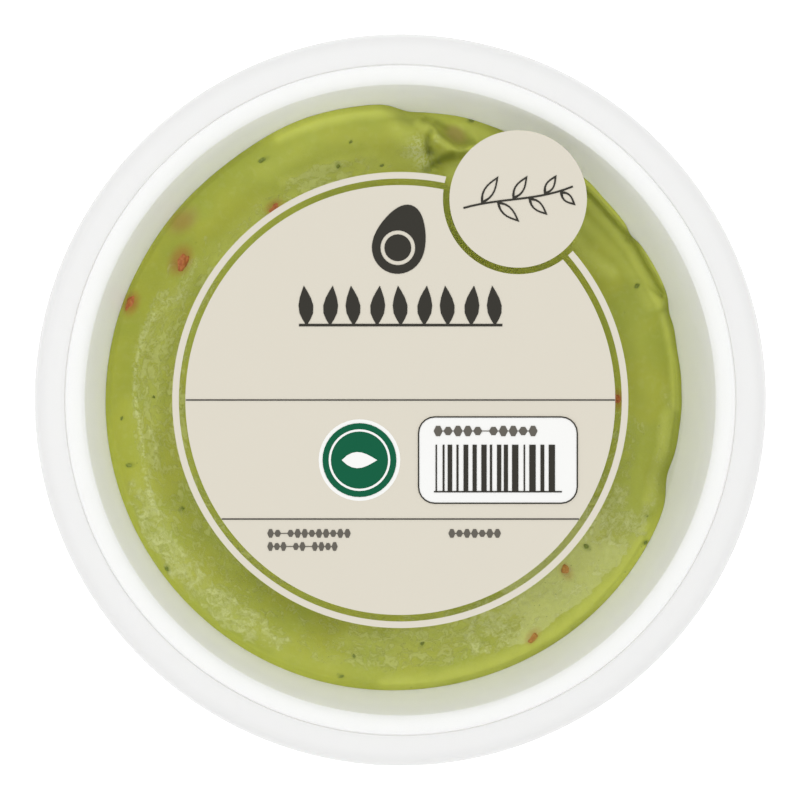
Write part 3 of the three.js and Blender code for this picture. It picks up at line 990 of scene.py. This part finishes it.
# Streaks of the lighter colour: partly the dip's paler smears, partly painted light on slopes that fall in shade.
LIGHTS = (
    Stroke(((-1.2, 34.6), (-9.0, 33.4), (-17.0, 30.0)), 2.4, 0.35),
    Stroke(((4.0, 31.6), (-2.0, 31.4), (-10.0, 29.8), (-18.0, 25.4), (-26.0, 17.4)), 1.5, 0.65),
    Stroke(((-33.0, 5.0), (-34.2, -2.0), (-32.4, -11.0)), 2.0, 0.1),
    Stroke(((-31.5, -18.5), (-25.8, -26.5), (-16.0, -33.4)), 1.8, 0.2),
    Stroke(((-16.0, -33.4), (-12.0, -35.0), (0.0, -37.0)), 1.4, 0.4),
    Stroke(((-2.0, -37.4), (4.0, -37.2), (12.6, -34.9), (21.3, -30.4), (28.4, -23.9), (32.8, -17.4)), 1.3, 1.05),
    Stroke(((0.0, -31.0), (8.0, -30.0), (15.0, -27.0), (24.5, -19.5)), 1.6, 0.6),
    Stroke(((-3.4, 32.3), (-9.5, 31.1), (-15.3, 28.7)), 1.1, 0.75),
    Stroke(((-26.9, 18.2), (-31.4, 8.4), (-32.5, 0.0), (-32.3, -3.4)), 1.1, 0.55),
    Stroke(((-7.9, -31.5), (0.0, -32.5), (9.0, -31.2), (18.2, -26.9)), 1.1, 0.55),
    Stroke(((30.5, -13.5), (32.5, -6.0), (33.2, 0.0), (32.6, 6.5), (31.0, 11.0)), 2.3, 0.2),
    Stroke(((32.9, -13.3), (34.7, -7.4), (35.4, -1.9)), 1.0, 0.9),
    Stroke(((36.6, -1.0), (36.2, 5.6), (34.9, 11.2)), 0.6, 1.1),
    Stroke(((4.2, 37.4), (8.0, 36.4), (11.5, 35.0)), 1.5, 1.2),
    Stroke(((9.0, 30.8), (6.8, 29.9)), 1.2, 1.3),
    Stroke(((2.4, 36.6), (3.9, 35.9)), 0.9, 1.1),
    Stroke(((5.4, 34.2), (6.4, 33.4), (8.6, 33.0)), 0.55, 1.2),
    Stroke(((-16.0, 34.7), (-12.5, 36.1), (-6.0, 37.7), (-0.4, 38.0), (3.0, 37.7), (5.4, 37.3)), 0.9, 1.1),
    Stroke(((0.0, 35.4), (1.4, 33.4), (2.2, 31.6)), 2.2, 0.7),
    Stroke(((20.4, 24.6), (24.6, 19.4), (28.0, 16.9)), 1.1, 0.8),
    Stroke(((23.4, 24.6), (26.0, 22.0), (29.0, 19.0), (31.0, 16.6), (33.0, 12.6)), 1.0, 0.6),
    Stroke(((22.4, 28.4), (25.2, 25.9), (27.8, 23.0), (30.2, 20.0), (32.3, 16.2), (34.2, 12.6)), 0.75, 1.1),
)
SHADOWS = (
    Stroke(((4.18, 35.4), (3.7, 34.6), (3.62, 33.6), (3.92, 32.6)), 0.3, 0.25),
    Stroke(((3.4, 30.4), (4.4, 31.2), (5.6, 31.9), (6.9, 32.3)), 0.55, 0.55),
    Stroke(((4.8, 36.7), (5.4, 36.35), (6.1, 35.9)), 0.5, 0.45),
    Stroke(((-20.0, -23.4), (-14.6, -27.2), (-8.0, -29.8)), 1.3, 0.2),
    Stroke(((-36.0, 2.0), (-35.0, 9.0), (-33.4, 13.5), (-30.6, 18.6), (-28.5, 21.5)), 1.8, 0.22),
)
FLECKS = (
    Stroke(
        (
            (-34.3, 6.9), (-34.8, 4.4), (-35.0, 0.8), (-34.4, -2.6), (-34.0, -5.2), (-33.8, -7.1), (-33.7, -8.9),
        ),
        0.22,
        1.0,
    ),
    Stroke(((-28.6, 13.9), (-31.6, 11.9), (-33.4, 9.9), (-34.3, 6.9), (-34.8, 4.4)), 0.55, 0.5),
    Stroke(((-27.0, 18.3), (-27.8, 16.0), (-28.6, 13.9)), 0.4, 0.4),
    Stroke(((-33.7, -8.9), (-33.2, -11.4), (-32.6, -13.4)), 0.35, 0.5),
    Stroke(((-33.0, -3.6), (-32.2, -6.2), (-32.2, -9.0)), 0.25, 0.6),
    Stroke(((2.2, 33.8), (2.5, 32.6), (3.1, 31.4)), 1.1, 1.3),
    Stroke(((4.9, 34.9), (4.7, 34.2)), 0.3, 0.8),
)
RIM_TONES = (
    RimTone(105, 14, 0.5),
    RimTone(150, 26, 0.25),
    RimTone(205, 30, 0.75),
    RimTone(250, 22, 0.7),
    RimTone(331, 12, 0.8),
    RimTone(306, 10, -0.5),
    RimTone(278, 8, -0.3),
    RimTone(78, 8, 0.5),
)
PEPPER_BITS = (
    Bit((-28.94, 18.47), 1.45, 1.0, 66),
    Bit((-35.4, 12.7), 1.1, 0.72, 70),
    Bit((-28.81, 23.48), 1.0, 0.75, 20, 0.3),
    Bit((-16.67, 25.46), 0.95, 0.6, 35, 0.8),
    Bit((28.85, 0.1), 0.95, 0.6, 95, 0.8),
)
PALE_PEPPER_BITS = (
    Bit((17.49, -31.26), 0.9, 0.55, 50, 0.55),
    Bit((21.97, -22.69), 0.85, 0.6, 120, 0.5),
)
HERB_BITS = (
    Bit((-17.95, 31.66), 0.72, 0.28, 25),
    Bit((-8.23, 31.0), 0.42, 0.3, 100),
    Bit((-35.53, -8.57), 0.55, 0.3, 5),
    Bit((-28.81, -14.38), 0.4, 0.3, 60),
    Bit((-30.65, -22.16), 0.5, 0.3, 120),
    Bit((-7.83, -36.4), 0.4, 0.28, 0),
    Bit((24.74, -19.52), 0.5, 0.34, 150),
    Bit((32.4, -18.9), 0.4, 0.26, 40),
    Bit((31.34, 15.04), 0.42, 0.28, 60),
    Bit((9.3, 36.9), 0.42, 0.26, 0),
    Bit((-2.43, 31.0), 0.3, 0.2, 30, 0.7),
    Bit((-6.52, 34.03), 0.35, 0.2, 60, 0.5),
    Bit((-6.12, -33.77), 0.3, 0.22, 110, 0.8),
    Bit((-36.6, -2.4), 0.3, 0.22, 70, 0.6),
    Bit((-32.5, 0.4), 0.25, 0.2, 0, 0.6),
    Bit((32.6, -15.4), 0.3, 0.22, 20, 0.7),
    Bit((2.85, -32.3), 0.4, 0.3, 60, 0.6),
)
BRUISES = (
    Bit((7.3, 35.1), 1.5, 0.9, -35, 0.7),
    Bit((-28.6, 23.6), 2.0, 1.3, 40, 0.6),
)
STAINS = (
    Stain("pepper", PEPPER_BITS + PALE_PEPPER_BITS, 1.5, 0.7),
    Stain("herb", HERB_BITS, 1.35, 0.45),
    Stain("bruise", BRUISES, 1.2, 1.0),
)
FROTH = (
    FrothPatch(103, 117, 0.76, 0.84, 0.35, 1.4),
    FrothPatch(96, 148, 0.76, 0.82, 0.1, 0.7),
    FrothPatch(152, 184, 0.8, 0.91, 0.38, 0.95),
    FrothPatch(144, 156, 0.74, 0.86, 0.2, 0.85),
    FrothPatch(156, 202, 0.74, 0.905, 0.2, 0.85),
    FrothPatch(168, 196, 0.73, 0.79, 0.3, 1.1),
    FrothPatch(198, 224, 0.885, 0.985, 0.7, 0.9),
    FrothPatch(222, 241, 0.87, 0.972, 0.66, 0.95),
    FrothPatch(200, 238, 0.73, 0.885, 0.2, 0.75),
    FrothPatch(238, 256, 0.78, 0.92, 0.1, 0.6),
    FrothPatch(255, 290, 0.75, 0.93, 0.34, 0.8),
    FrothPatch(286, 300, 0.75, 0.93, 0.68, 0.9),
    FrothPatch(296, 329, 0.74, 0.94, 1.1, 0.4),
    FrothPatch(324, 338, 0.74, 0.965, 0.7, 0.85),
    FrothPatch(336, 360, 0.925, 0.98, 0.45, 0.3),
    FrothPatch(336, 358, 0.76, 0.87, 0.15, 0.6),
    FrothPatch(80, 90, 0.83, 0.88, 0.3, 1.1),
)


@dataclass
class Guacamole:
    """The dip, filled in a loose ring that ends in a fold at the top of the tub, with its bits.

    Places on the dip are parts of its radius, 1 at the edge. The rim tone, a lighter edge that is partly painted
    light, and the brink tone, painted shade at the wall, each have the part where they start and the width over
    which they grow. The rag fields say how ragged the froth's borders are, the swell and curd fields make its
    uneven surface, and the lump fields shape the bits.
    """

    tub: Tub
    edge_depth: float = 13.15
    tilt: float = 2.4
    high_side: float = 180.0
    crest_at: float = 0.895
    crest_half: float = 0.085
    crest_rise: float = 1.2
    crest_swing: float = 0.4
    swing_towards: float = 215.0
    shoulder_width: float = 0.03
    shoulder_rise: float = 0.3
    shoulder_fade: float = 0.022
    swirl_turns: float = 2.1
    swirl_rise: float = 0.9
    swirl_full: float = 0.25
    swirl_until: float = 0.8
    swirl_fade: float = 0.1
    wave_inward: float = 0.8
    wall_reach: float = 0.03
    band_fade: float = math.radians(4.0)
    froth_border: float = 0.012
    froth_fade: float = math.radians(7.0)
    rag_grain: float = 14.0
    rag_across: float = 0.02
    rag_sideways: float = 0.14
    swell_grain: float = 0.22
    swell_rise: float = 0.16
    curd_grain: float = 1.1
    curd_rise: float = 0.09
    calm_width: float = 0.03
    wall_gap: float = 0.05
    floor_gap: float = 0.02
    rim_tone: Span = (0.968, 0.02)
    brink_tone: Span = (0.984, 0.012)
    # Painted shade by the creases' depth, capped at crease_most, and painted light, glow times the excess, where a
    # light streak is stronger than 1.
    crease_depth: float = 1.6
    crease_most: float = 0.2
    glow: float = 1.8
    lump_least: float = 0.45
    lump_swell: float = 0.45
    lump_grain: float = 1.3
    lump_stride: float = 7.3
    lump_height: float = 2.2
    lump_sink: float = 1.35
    segments: int = 1060
    inner_rings: int = 8
    fine_from: float = 0.72
    fine_rings: int = 80

    def edge_waves(self, angle: Array, inward: Array | float = 0.0) -> Array:
        """Rise of the edge's waves, which fade towards the axis.

        Args:
            angle: Angle in radians.
            inward: Distance from the edge in parts of the radius.

        Returns:
            Rise in millimetres.
        """
        total = np.zeros_like(angle)
        for wave in EDGE_WAVES:
            half = math.radians(wave.half)
            fading = bell(inward / (self.wave_inward * half))
            total += wave.rise * bell(angle_gap(angle, math.radians(wave.at)) / half) * fading
        return total

    def level_depth(self, part: Array | float, angle: Array) -> Array:
        """Depth of the tilted level below the rim."""
        return self.edge_depth - self.tilt * part * np.cos(angle - math.radians(self.high_side))

    def edge(self, angle: Array) -> tuple[Array, Array]:
        """Radius and depth of the dip's edge at an angle."""
        depth = self.level_depth(1.0, angle) - self.edge_waves(angle)
        return self.tub.wall_radius(self.tub.height - depth) + self.wall_reach, depth

    def relief(self, part: Array, angle: Array, x: Array, y: Array) -> Array:
        """Height of the surface above the tilted level.

        Args:
            part: Distance from the axis, 1 at the edge.
            angle: Angle in radians.
            x: Place to the right in millimetres.
            y: Place to the back in millimetres.

        Returns:
            Height in millimetres, 0 at the edge.
        """
        crest = self.crest_rise + self.crest_swing * np.cos(angle - math.radians(self.swing_towards))
        inner = 1.0 - ease((part - self.swirl_until + self.swirl_fade) / self.swirl_fade)
        spiral = np.cos(angle + 2.0 * math.pi * self.swirl_turns * part)
        rise = crest * bell((part - self.crest_at) / self.crest_half)
        rise = rise + self.swirl_rise * inner * spiral * ease(part / self.swirl_full)
        for band in BANDS:
            ends = 1.0 - ease(outside_span(angle, band.start, band.end) / self.band_fade + 0.5)
            rise = rise + band.rise * bell((part - band.at) / band.half) * ends
        for stroke in STROKES:
            rise = rise + stroke.strength * bell(self.line_place(x, y, stroke.line)[0] / stroke.half)
        rise = rise + self.crease_relief(x, y)
        shoulder = self.shoulder_rise * ease((1.0 - part) / self.shoulder_width)
        return shoulder + rise * ease((1.0 - part) / self.shoulder_fade)

    @staticmethod
    def line_place(x: Array, y: Array, line: Sequence[Point2]) -> tuple[Array, Array, Array]:
        """Where points lie beside a line of several stretches.

        Args:
            x: Place to the right in millimetres.
            y: Place to the back in millimetres.
            line: Points of the line.

        Returns:
            Distance from the line, the same with a sign that is positive to the left of travel, and the
            length along the line.
        """
        nearest = np.full(np.shape(x), np.inf)
        side = np.zeros(np.shape(x))
        along = np.zeros(np.shape(x))
        walked = 0.0
        for (x0, y0), (x1, y1) in zip(line, line[1:]):
            dx, dy = x1 - x0, y1 - y0
            length = math.hypot(dx, dy)
            share = np.clip(((x - x0) * dx + (y - y0) * dy) / length**2, 0.0, 1.0)
            distance = np.hypot(x - x0 - share * dx, y - y0 - share * dy)
            closer = distance < nearest
            cross = dx * (y - y0) - dy * (x - x0)
            side = np.where(closer, np.sign(cross) * distance, side)
            along = np.where(closer, walked + share * length, along)
            nearest = np.where(closer, distance, nearest)
            walked += length
        return nearest, side, along

    def crease_relief(self, x: Array, y: Array) -> Array:
        """Height that the creases add at points of the surface."""
        total = np.zeros(np.shape(x))
        for crease in CREASES:
            _, side, along = self.line_place(x, y, crease.line)
            longer = (crease.low_fade - crease.fade) * ease(-side / crease.low_from)
            strength = crease.ends(along, crease.fade + longer)
            high = -crease.drop * (1.0 - np.sin(0.5 * math.pi * np.clip(side / crease.roll, 0.0, 1.0)))
            high = high + crease.crest * bell((side - crease.roll) / crease.roll) * (side > 0.0)
            low = -crease.drop * (1.0 - ease(-side / crease.reach))
            total = total + strength * np.where(side >= 0.0, high, low)
        return total

    def streak_share(self, x: Array, y: Array, strokes: Iterable[Stroke]) -> Array:
        """Share of a tone that streaks lay on the surface."""
        share = np.zeros(np.shape(x))
        for stroke in strokes:
            share = np.maximum(share, stroke.strength * bell(self.line_place(x, y, stroke.line)[0] / stroke.half))
        return share

    def surface(self, part: Array, angle: Array) -> tuple[Array, Array, Array]:
        """Points of the surface.

        Args:
            part: Distance from the axis, 1 at the edge.
            angle: Angle in radians.

        Returns:
            The three coordinates in millimetres.
        """
        edge_radius, _ = self.edge(angle)
        x, y = part * edge_radius * np.cos(angle), part * edge_radius * np.sin(angle)
        depth = self.level_depth(part, angle) - self.edge_waves(angle, 1.0 - part)
        return x, y, self.tub.height - depth + self.relief(part, angle, x, y)

    def crease_tone(self, x: Array, y: Array, tone: Callable[[Crease], LineTone]) -> Array:
        """Share of a tone along the creases.

        Args:
            x: Place to the right in millimetres.
            y: Place to the back in millimetres.
            tone: Gives the tone of a crease.

        Returns:
            The share at each point.
        """
        share = np.zeros(np.shape(x))
        for crease in CREASES:
            at, half, strength = tone(crease)
            _, side, along = self.line_place(x, y, crease.line)
            share = np.maximum(share, strength * crease.ends(along, crease.fade) * bell((side - at) / half))
        return share

    def froth_shares(self, part: Array, angle: Array) -> tuple[Array, Array]:
        """Share of froth sheets and of flakes at points of the surface, with ragged borders.

        Args:
            part: Distance from the axis, 1 at the edge.
            angle: Angle in radians.

        Returns:
            The two shares, each from 0 to about 1.
        """
        sheets, flakes = np.zeros_like(part), np.zeros_like(part)
        x, y = self.rag_grain * part * np.cos(angle), self.rag_grain * part * np.sin(angle)
        across, sideways = (
            noise_field(lambda at: noise.fractal(at, 0.8, 2.1, 4), x, y, level) for level in (20.0, 31.0)
        )
        part, angle = part + self.rag_across * across, angle + self.rag_sideways * sideways
        for patch in FROTH:
            amount = 1.0 - ease(outside_span(angle, patch.start, patch.end) / self.froth_fade + 0.5)
            inner, outer = (ease((part - at) / self.froth_border + 0.5) for at in (patch.inner, patch.outer))
            amount = amount * inner * (1.0 - outer)
            sheets = np.maximum(sheets, patch.share * amount)
            flakes = np.maximum(flakes, patch.flakes * amount)
        return sheets, flakes

    @staticmethod
    def spot_share(x: Array, y: Array, bits: Iterable[Bit], spread: float) -> Array:
        """Soft round stains at bits.

        Args:
            x: Place to the right in millimetres.
            y: Place to the back in millimetres.
            bits: The bits.
            spread: Size of a stain in parts of its bit.

        Returns:
            Strength of the stain from 0 to 1.
        """
        share = np.zeros_like(x)
        for bit in bits:
            turn = math.radians(bit.turn)
            along = (x - bit.at[0]) * math.cos(turn) + (y - bit.at[1]) * math.sin(turn)
            across = (y - bit.at[1]) * math.cos(turn) - (x - bit.at[0]) * math.sin(turn)
            reach = np.hypot(along / (bit.long * spread), across / (bit.wide * spread))
            share = np.maximum(share, bit.strength * (1.0 - ease(reach - 0.35)))
        return share

    def tones(self, part: Array, angle: Array, x: Array, y: Array) -> dict[str, Array]:
        """Shares of the tones that the finish lays on the surface.

        Args:
            part: Distance from the axis, 1 at the edge.
            angle: Angle in radians.
            x: Place to the right in millimetres.
            y: Place to the back in millimetres.

        Returns:
            The shares under the names that the finish reads.
        """
        edge_tone = np.zeros_like(angle)
        for tone in RIM_TONES:
            edge_tone += tone.share * bell(angle_gap(angle, math.radians(tone.at)) / math.radians(tone.half))
        # Painted shadow along streaks and the creases' dark side; painted light, partly the dip's paler smears, along
        # streaks and the creases' light side.
        shadow = np.maximum(self.streak_share(x, y, SHADOWS), self.crease_tone(x, y, lambda crease: crease.dark))
        light = np.maximum(self.streak_share(x, y, LIGHTS), self.crease_tone(x, y, lambda crease: crease.light))
        light = light * (1.0 - shadow)
        # Painted shade by crease depth, turned into painted light where a light streak exceeds 1.
        creases = np.clip(-self.crease_relief(x, y) / self.crease_depth, 0.0, self.crease_most)
        creases = creases - self.glow * np.clip(light - 1.0, 0.0, 1.0)
        # Rim: a lighter edge, partly painted light; brink: painted shade at the wall where the edge tone is negative.
        rim, brink = (ease((part - start) / width) for start, width in (self.rim_tone, self.brink_tone))
        return {
            "rim": rim * np.clip(edge_tone, 0.0, 1.0),
            "painted_shading": creases + brink * np.clip(-edge_tone, 0.0, 1.0),
            "light": np.clip(light, 0.0, 1.0),
            "shadow": shadow,
            "fleck": self.streak_share(x, y, FLECKS),
            **{stain.name: stain.share * self.spot_share(x, y, stain.bits, stain.spread) for stain in STAINS},
        }

    def build_dip(self) -> bpy.types.Object:
        """Builds and dresses the dip's body, with the tones as numbers on its points, 0 on the sides and below."""
        inner = np.linspace(0.0, self.fine_from, self.inner_rings + 1)[1:-1]
        rings = np.concatenate([inner, np.linspace(self.fine_from, 1.0, self.fine_rings)])
        angles = np.linspace(0.0, 2.0 * math.pi, self.segments, endpoint=False)
        part, angle = np.meshgrid(rings, angles, indexing="ij")
        x, y, z = self.surface(part, angle)
        froth, flakes = self.froth_shares(part, angle)
        swell = noise_field(noise.noise, x * self.swell_grain, y * self.swell_grain, 3.0)
        curds = noise_field(lambda at: noise.fractal(at, 0.9, 2.1, 3), x * self.curd_grain, y * self.curd_grain, 9.0)
        rough = self.swell_rise * swell + froth * self.curd_rise * curds
        z = z + rough * ease((1.0 - part) / self.calm_width)

        floor, fillet = self.tub.floor_top, self.tub.floor_fillet
        base, bottom = floor + fillet, floor + self.floor_gap
        low_radius = float(self.tub.wall_radius(base)) - self.wall_gap
        foot_radius = float(self.tub.wall_radius(floor)) - fillet
        ring = np.stack([np.cos(angles), np.sin(angles)], axis=1)
        rows = [np.stack([x[i], y[i], z[i]], axis=1) for i in range(len(rings))]
        for radius, level in ((low_radius, base), (foot_radius, bottom)):
            rows.append(np.column_stack([ring * radius, np.full(self.segments, level)]))
        centre = self.surface(np.array([0.0]), np.array([0.0]))
        points = np.vstack([[c[0] for c in centre], *rows, [0.0, 0.0, bottom]])
        mesh = mesh_from("guacamole_dip", points, ring_faces(len(rows), self.segments))
        for name, values in {"froth": froth, "flakes": flakes, **self.tones(part, angle, x, y)}.items():
            full = np.zeros(len(points), np.float32)
            full[1 : 1 + values.size] = values.ravel()
            mesh.attributes.new(name, "FLOAT", "POINT").data.foreach_set("value", full)
        piece = make_object("guacamole_dip", mesh, DipFinish().material())
        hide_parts("guacamole")
        return piece

    def build_bits(self, finish: BitFinish, bits: Sequence[Bit], rise: float) -> bpy.types.Object:
        """Builds and dresses one kind of bit as uneven lumps sunk in the surface.

        Args:
            finish: Their finish, which also names the piece.
            bits: The bits.
            rise: How far they stand out of the dip in millimetres.

        Returns:
            The piece.
        """
        form = bmesh.new()
        for number, bit in enumerate(bits):
            if bit.strength < self.lump_least:
                continue
            angle = np.array([math.atan2(bit.at[1], bit.at[0])])
            edge_radius, _ = self.edge(angle)
            _, _, z = self.surface(math.hypot(*bit.at) / edge_radius, angle)
            lump = bmesh.ops.create_icosphere(form, subdivisions=3, radius=1.0)["verts"]
            turn = math.radians(bit.turn)
            offset = Vector((number * self.lump_stride, 0.0, 0.0))
            for vert in lump:
                swell = 1.0 + self.lump_swell * noise.noise(vert.co * self.lump_grain + offset)
                px, py = vert.co.x * bit.long * swell, vert.co.y * bit.wide * swell
                pz = vert.co.z * self.lump_height * rise * swell
                vert.co = Vector(
                    (
                        (bit.at[0] + px * math.cos(turn) - py * math.sin(turn)) * MM,
                        (bit.at[1] + px * math.sin(turn) + py * math.cos(turn)) * MM,
                        (float(z[0]) - self.lump_sink * rise + pz) * MM,
                    )
                )
        for face in form.faces:
            face.smooth = True
        mesh = bpy.data.meshes.new(finish.name)
        form.to_mesh(mesh)
        form.free()
        piece = make_object(finish.name, mesh, finish.material())
        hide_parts("guacamole")
        return piece

    def build(self) -> list[bpy.types.Object]:
        """Builds the dip and its bits."""
        kinds = (
            (BitFinish("pepper_bits", linear(206, 128, 68), linear(178, 92, 40)), PEPPER_BITS, 0.1),
            (BitFinish("pale_pepper_bits", linear(206, 150, 70), linear(184, 122, 52)), PALE_PEPPER_BITS, 0.08),
            (BitFinish("herb_bits", linear(150, 162, 66), linear(118, 134, 48)), HERB_BITS, 0.08),
        )
        return [self.build_dip(), *(self.build_bits(finish, bits, rise) for finish, bits, rise in kinds)]


# Film and label


@dataclass
class SealingFilm:
    """Clear film sealed to the bead."""

    tub: Tub
    radius: float = 43.2
    thickness: float = 0.12
    finish: FilmFinish = field(default_factory=FilmFinish)

    @property
    def top(self) -> float:
        """Height of the film's upper face."""
        return self.tub.height + self.thickness

    def build(self) -> bpy.types.Object:
        """Builds and dresses the film."""
        mesh = slab("sealing_film", [arc((0.0, 0.0), self.radius, 0.0, 359.0)], self.tub.height, self.top)
        piece = make_object("sealing_film", mesh, self.finish.material())
        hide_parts("film")
        return piece


@dataclass
class Label:
    """Cream fields and print on the film."""

    film: SealingFilm
    thickness: float = 0.1
    disc_radius: float = 27.9
    ring_inner: float = 28.75
    ring_outer: float = 29.6
    badge_radius: float = 8.92
    badge_clearance: float = 9.77
    badge_at: Point2 = (15.3, 26.1)

    def clearance(self, radius: float) -> tuple[float, float, float]:
        """Where the badge's clearance circle meets a circle about the axis.

        Args:
            radius: Radius of the circle about the axis.

        Returns:
            In degrees: the badge's direction, half the angle seen from the axis and half that seen from the badge.
        """
        distance, cut = math.hypot(*self.badge_at), self.badge_clearance
        half = math.acos((radius**2 + distance**2 - cut**2) / (2 * radius * distance))
        cut_half = math.acos((cut**2 + distance**2 - radius**2) / (2 * cut * distance))
        towards = math.atan2(self.badge_at[1], self.badge_at[0])
        return math.degrees(towards), math.degrees(half), math.degrees(cut_half)

    def disc_outline(self) -> list[Point2]:
        """Outline of the disc with the bite round the badge."""
        towards, half, cut_half = self.clearance(self.disc_radius)
        rim = arc((0.0, 0.0), self.disc_radius, towards + half, towards - half + 360.0)
        bite = arc(self.badge_at, self.badge_clearance, towards + 180.0 + cut_half, towards + 180.0 - cut_half, 2.0)
        return rim + bite[1:-1]

    def ring_outline(self) -> list[Point2]:
        """Outline of the open ring round the disc."""
        towards, outer_half, outer_cut = self.clearance(self.ring_outer)
        _, inner_half, inner_cut = self.clearance(self.ring_inner)
        outer = arc((0.0, 0.0), self.ring_outer, towards + outer_half, towards - outer_half + 360.0)
        first = arc(self.badge_at, self.badge_clearance, towards + 180 + outer_cut, towards + 180 + inner_cut)
        inner = arc((0.0, 0.0), self.ring_inner, towards - inner_half + 360.0, towards + inner_half)
        second = arc(self.badge_at, self.badge_clearance, towards + 180 - inner_cut, towards + 180 - outer_cut)
        return outer + first[1:-1] + inner + second[1:-1]

    def build_fields(self) -> list[bpy.types.Object]:
        """Builds and dresses the cream fields."""
        low, high = self.film.top, self.film.top + self.thickness
        material = Ink.CREAM.value.material()
        outlines = {
            "label_disc": self.disc_outline(),
            "label_ring": self.ring_outline(),
            "label_badge": arc(self.badge_at, self.badge_radius, 0.0, 358.0, 2.0),
        }
        pieces = []
        for node, outline in outlines.items():
            piece = make_object(node + "_print", slab(node + "_print", [outline], low, high), material)
            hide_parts(node)
            pieces.append(piece)
        return pieces

    def dress_print(self, nodes: dict[str, bpy.types.Object]) -> None:
        """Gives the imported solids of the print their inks.

        Args:
            nodes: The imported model's objects by node.
        """
        inks = {
            Ink.DARK: (
                "rule_upper", "rule_lower", "emblem", "emblem_stone", "leaf_band", "panel_outline", "panel_bars",
                "badge_sprig",
            ),
            Ink.FAINT: ("panel_caption", "note_upper", "note_lower", "note_right"),
            Ink.GREEN: ("mark_field",),
            Ink.WHITE: ("mark_border", "mark_ring", "mark_leaf", "panel_field"),
        }
        for ink, names in inks.items():
            material = ink.value.material()
            for name in names:
                nodes[name].data.materials.clear()
                nodes[name].data.materials.append(material)

    def build(self, nodes: dict[str, bpy.types.Object]) -> list[bpy.types.Object]:
        """Builds the fields and dresses the rest of the print."""
        self.dress_print(nodes)
        return self.build_fields()


# Studio


@dataclass
class Studio:
    """Pale floor, soft white light and the camera straight above the label.

    The light's size and place and the floor's radius are metres, because they belong to the room.
    """

    rim_height: float = 34.0
    camera_above: float = 700.0
    lens: float = 242.6
    sensor: float = 36.0
    offset: Point2 = (-0.04, 0.0)
    dome: float = 0.87
    key_power: float = 1.8
    key_size: float = 0.9
    key_place: tuple[float, float, float] = (-0.12, 0.12, 1.25)
    floor_radius: float = 2.2
    floor_thickness: float = 2.0
    floor_glow: float = 0.38

    def build_floor(self) -> None:
        """Makes the pale floor."""
        graph = Graph("studio_floor")
        cloud = graph.grain(graph.millimetres(), Grain(60.0))
        material = graph.principled(
            Base_Color=graph.mix(cloud.step(0.3, 0.7), (0.9, 0.9, 0.9), (0.88, 0.88, 0.88)),
            Roughness=0.8,
            Specular_IOR_Level=0.1,
            Emission_Color=(1.0, 1.0, 1.0),
            Emission_Strength=self.floor_glow,
        )
        radius, under = self.floor_radius / MM, -self.floor_thickness
        mesh = lathe("studio_floor", [(0.0, 0.0), (radius, 0.0), (radius, under), (0.0, under)], 96)
        mesh.flip_normals()
        floor = bpy.data.objects.new("studio_floor", mesh)
        mesh.materials.append(material)
        bpy.context.scene.collection.objects.link(floor)

    def build_light(self) -> None:
        """Makes the white dome and the soft key light above."""
        scene = bpy.context.scene
        world = bpy.data.worlds.new("studio_dome")
        world.use_nodes = True
        background = world.node_tree.nodes["Background"]
        background.inputs["Color"].default_value = (1.0, 1.0, 1.0, 1.0)
        background.inputs["Strength"].default_value = self.dome
        scene.world = world
        light = bpy.data.lights.new("key_softbox", "AREA")
        light.shape = "DISK"
        light.size = self.key_size
        light.energy = self.key_power
        lamp = bpy.data.objects.new("key_softbox", light)
        lamp.location = self.key_place
        lamp.rotation_euler = Vector(self.key_place).to_track_quat("Z", "Y").to_euler()
        scene.collection.objects.link(lamp)

    def build_camera(self) -> None:
        """Makes the camera, which looks straight down with the label's top at the image's top."""
        data = bpy.data.cameras.new("packshot_camera")
        data.lens = self.lens
        data.sensor_width = self.sensor
        data.clip_start, data.clip_end = 0.01, 20.0
        camera = bpy.data.objects.new("packshot_camera", data)
        camera.location = (self.offset[0] * MM, self.offset[1] * MM, (self.rim_height + self.camera_above) * MM)
        bpy.context.scene.collection.objects.link(camera)
        bpy.context.scene.camera = camera

    def build(self) -> None:
        """Builds the studio with plain colour management."""
        scene = bpy.context.scene
        scene.view_settings.view_transform = "Standard"
        scene.view_settings.look = "None"
        scene.view_settings.exposure = 0.0
        scene.view_settings.gamma = 1.0
        self.build_floor()
        self.build_light()
        self.build_camera()


def main() -> None:
    """Builds the studio and the part, piece by piece."""
    logging.basicConfig(level=logging.INFO, format="%(name)s: %(message)s", stream=sys.stdout)
    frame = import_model()
    Studio().build()
    tub = Tub()
    film = SealingFilm(tub)
    steps: list[tuple[str, Callable[[], object]]] = [
        ("tub", tub.build),
        ("guacamole", Guacamole(tub).build),
        ("film", film.build),
        ("label", lambda: Label(film).build(frame["nodes"])),
    ]
    for title, build in steps:
        made = build()
        pieces = made if isinstance(made, list) else [made]
        for piece in pieces:
            LOG.info("%s: %s with %d faces", title, piece.name, len(piece.data.polygons))


if __name__ == "__main__":
    main()
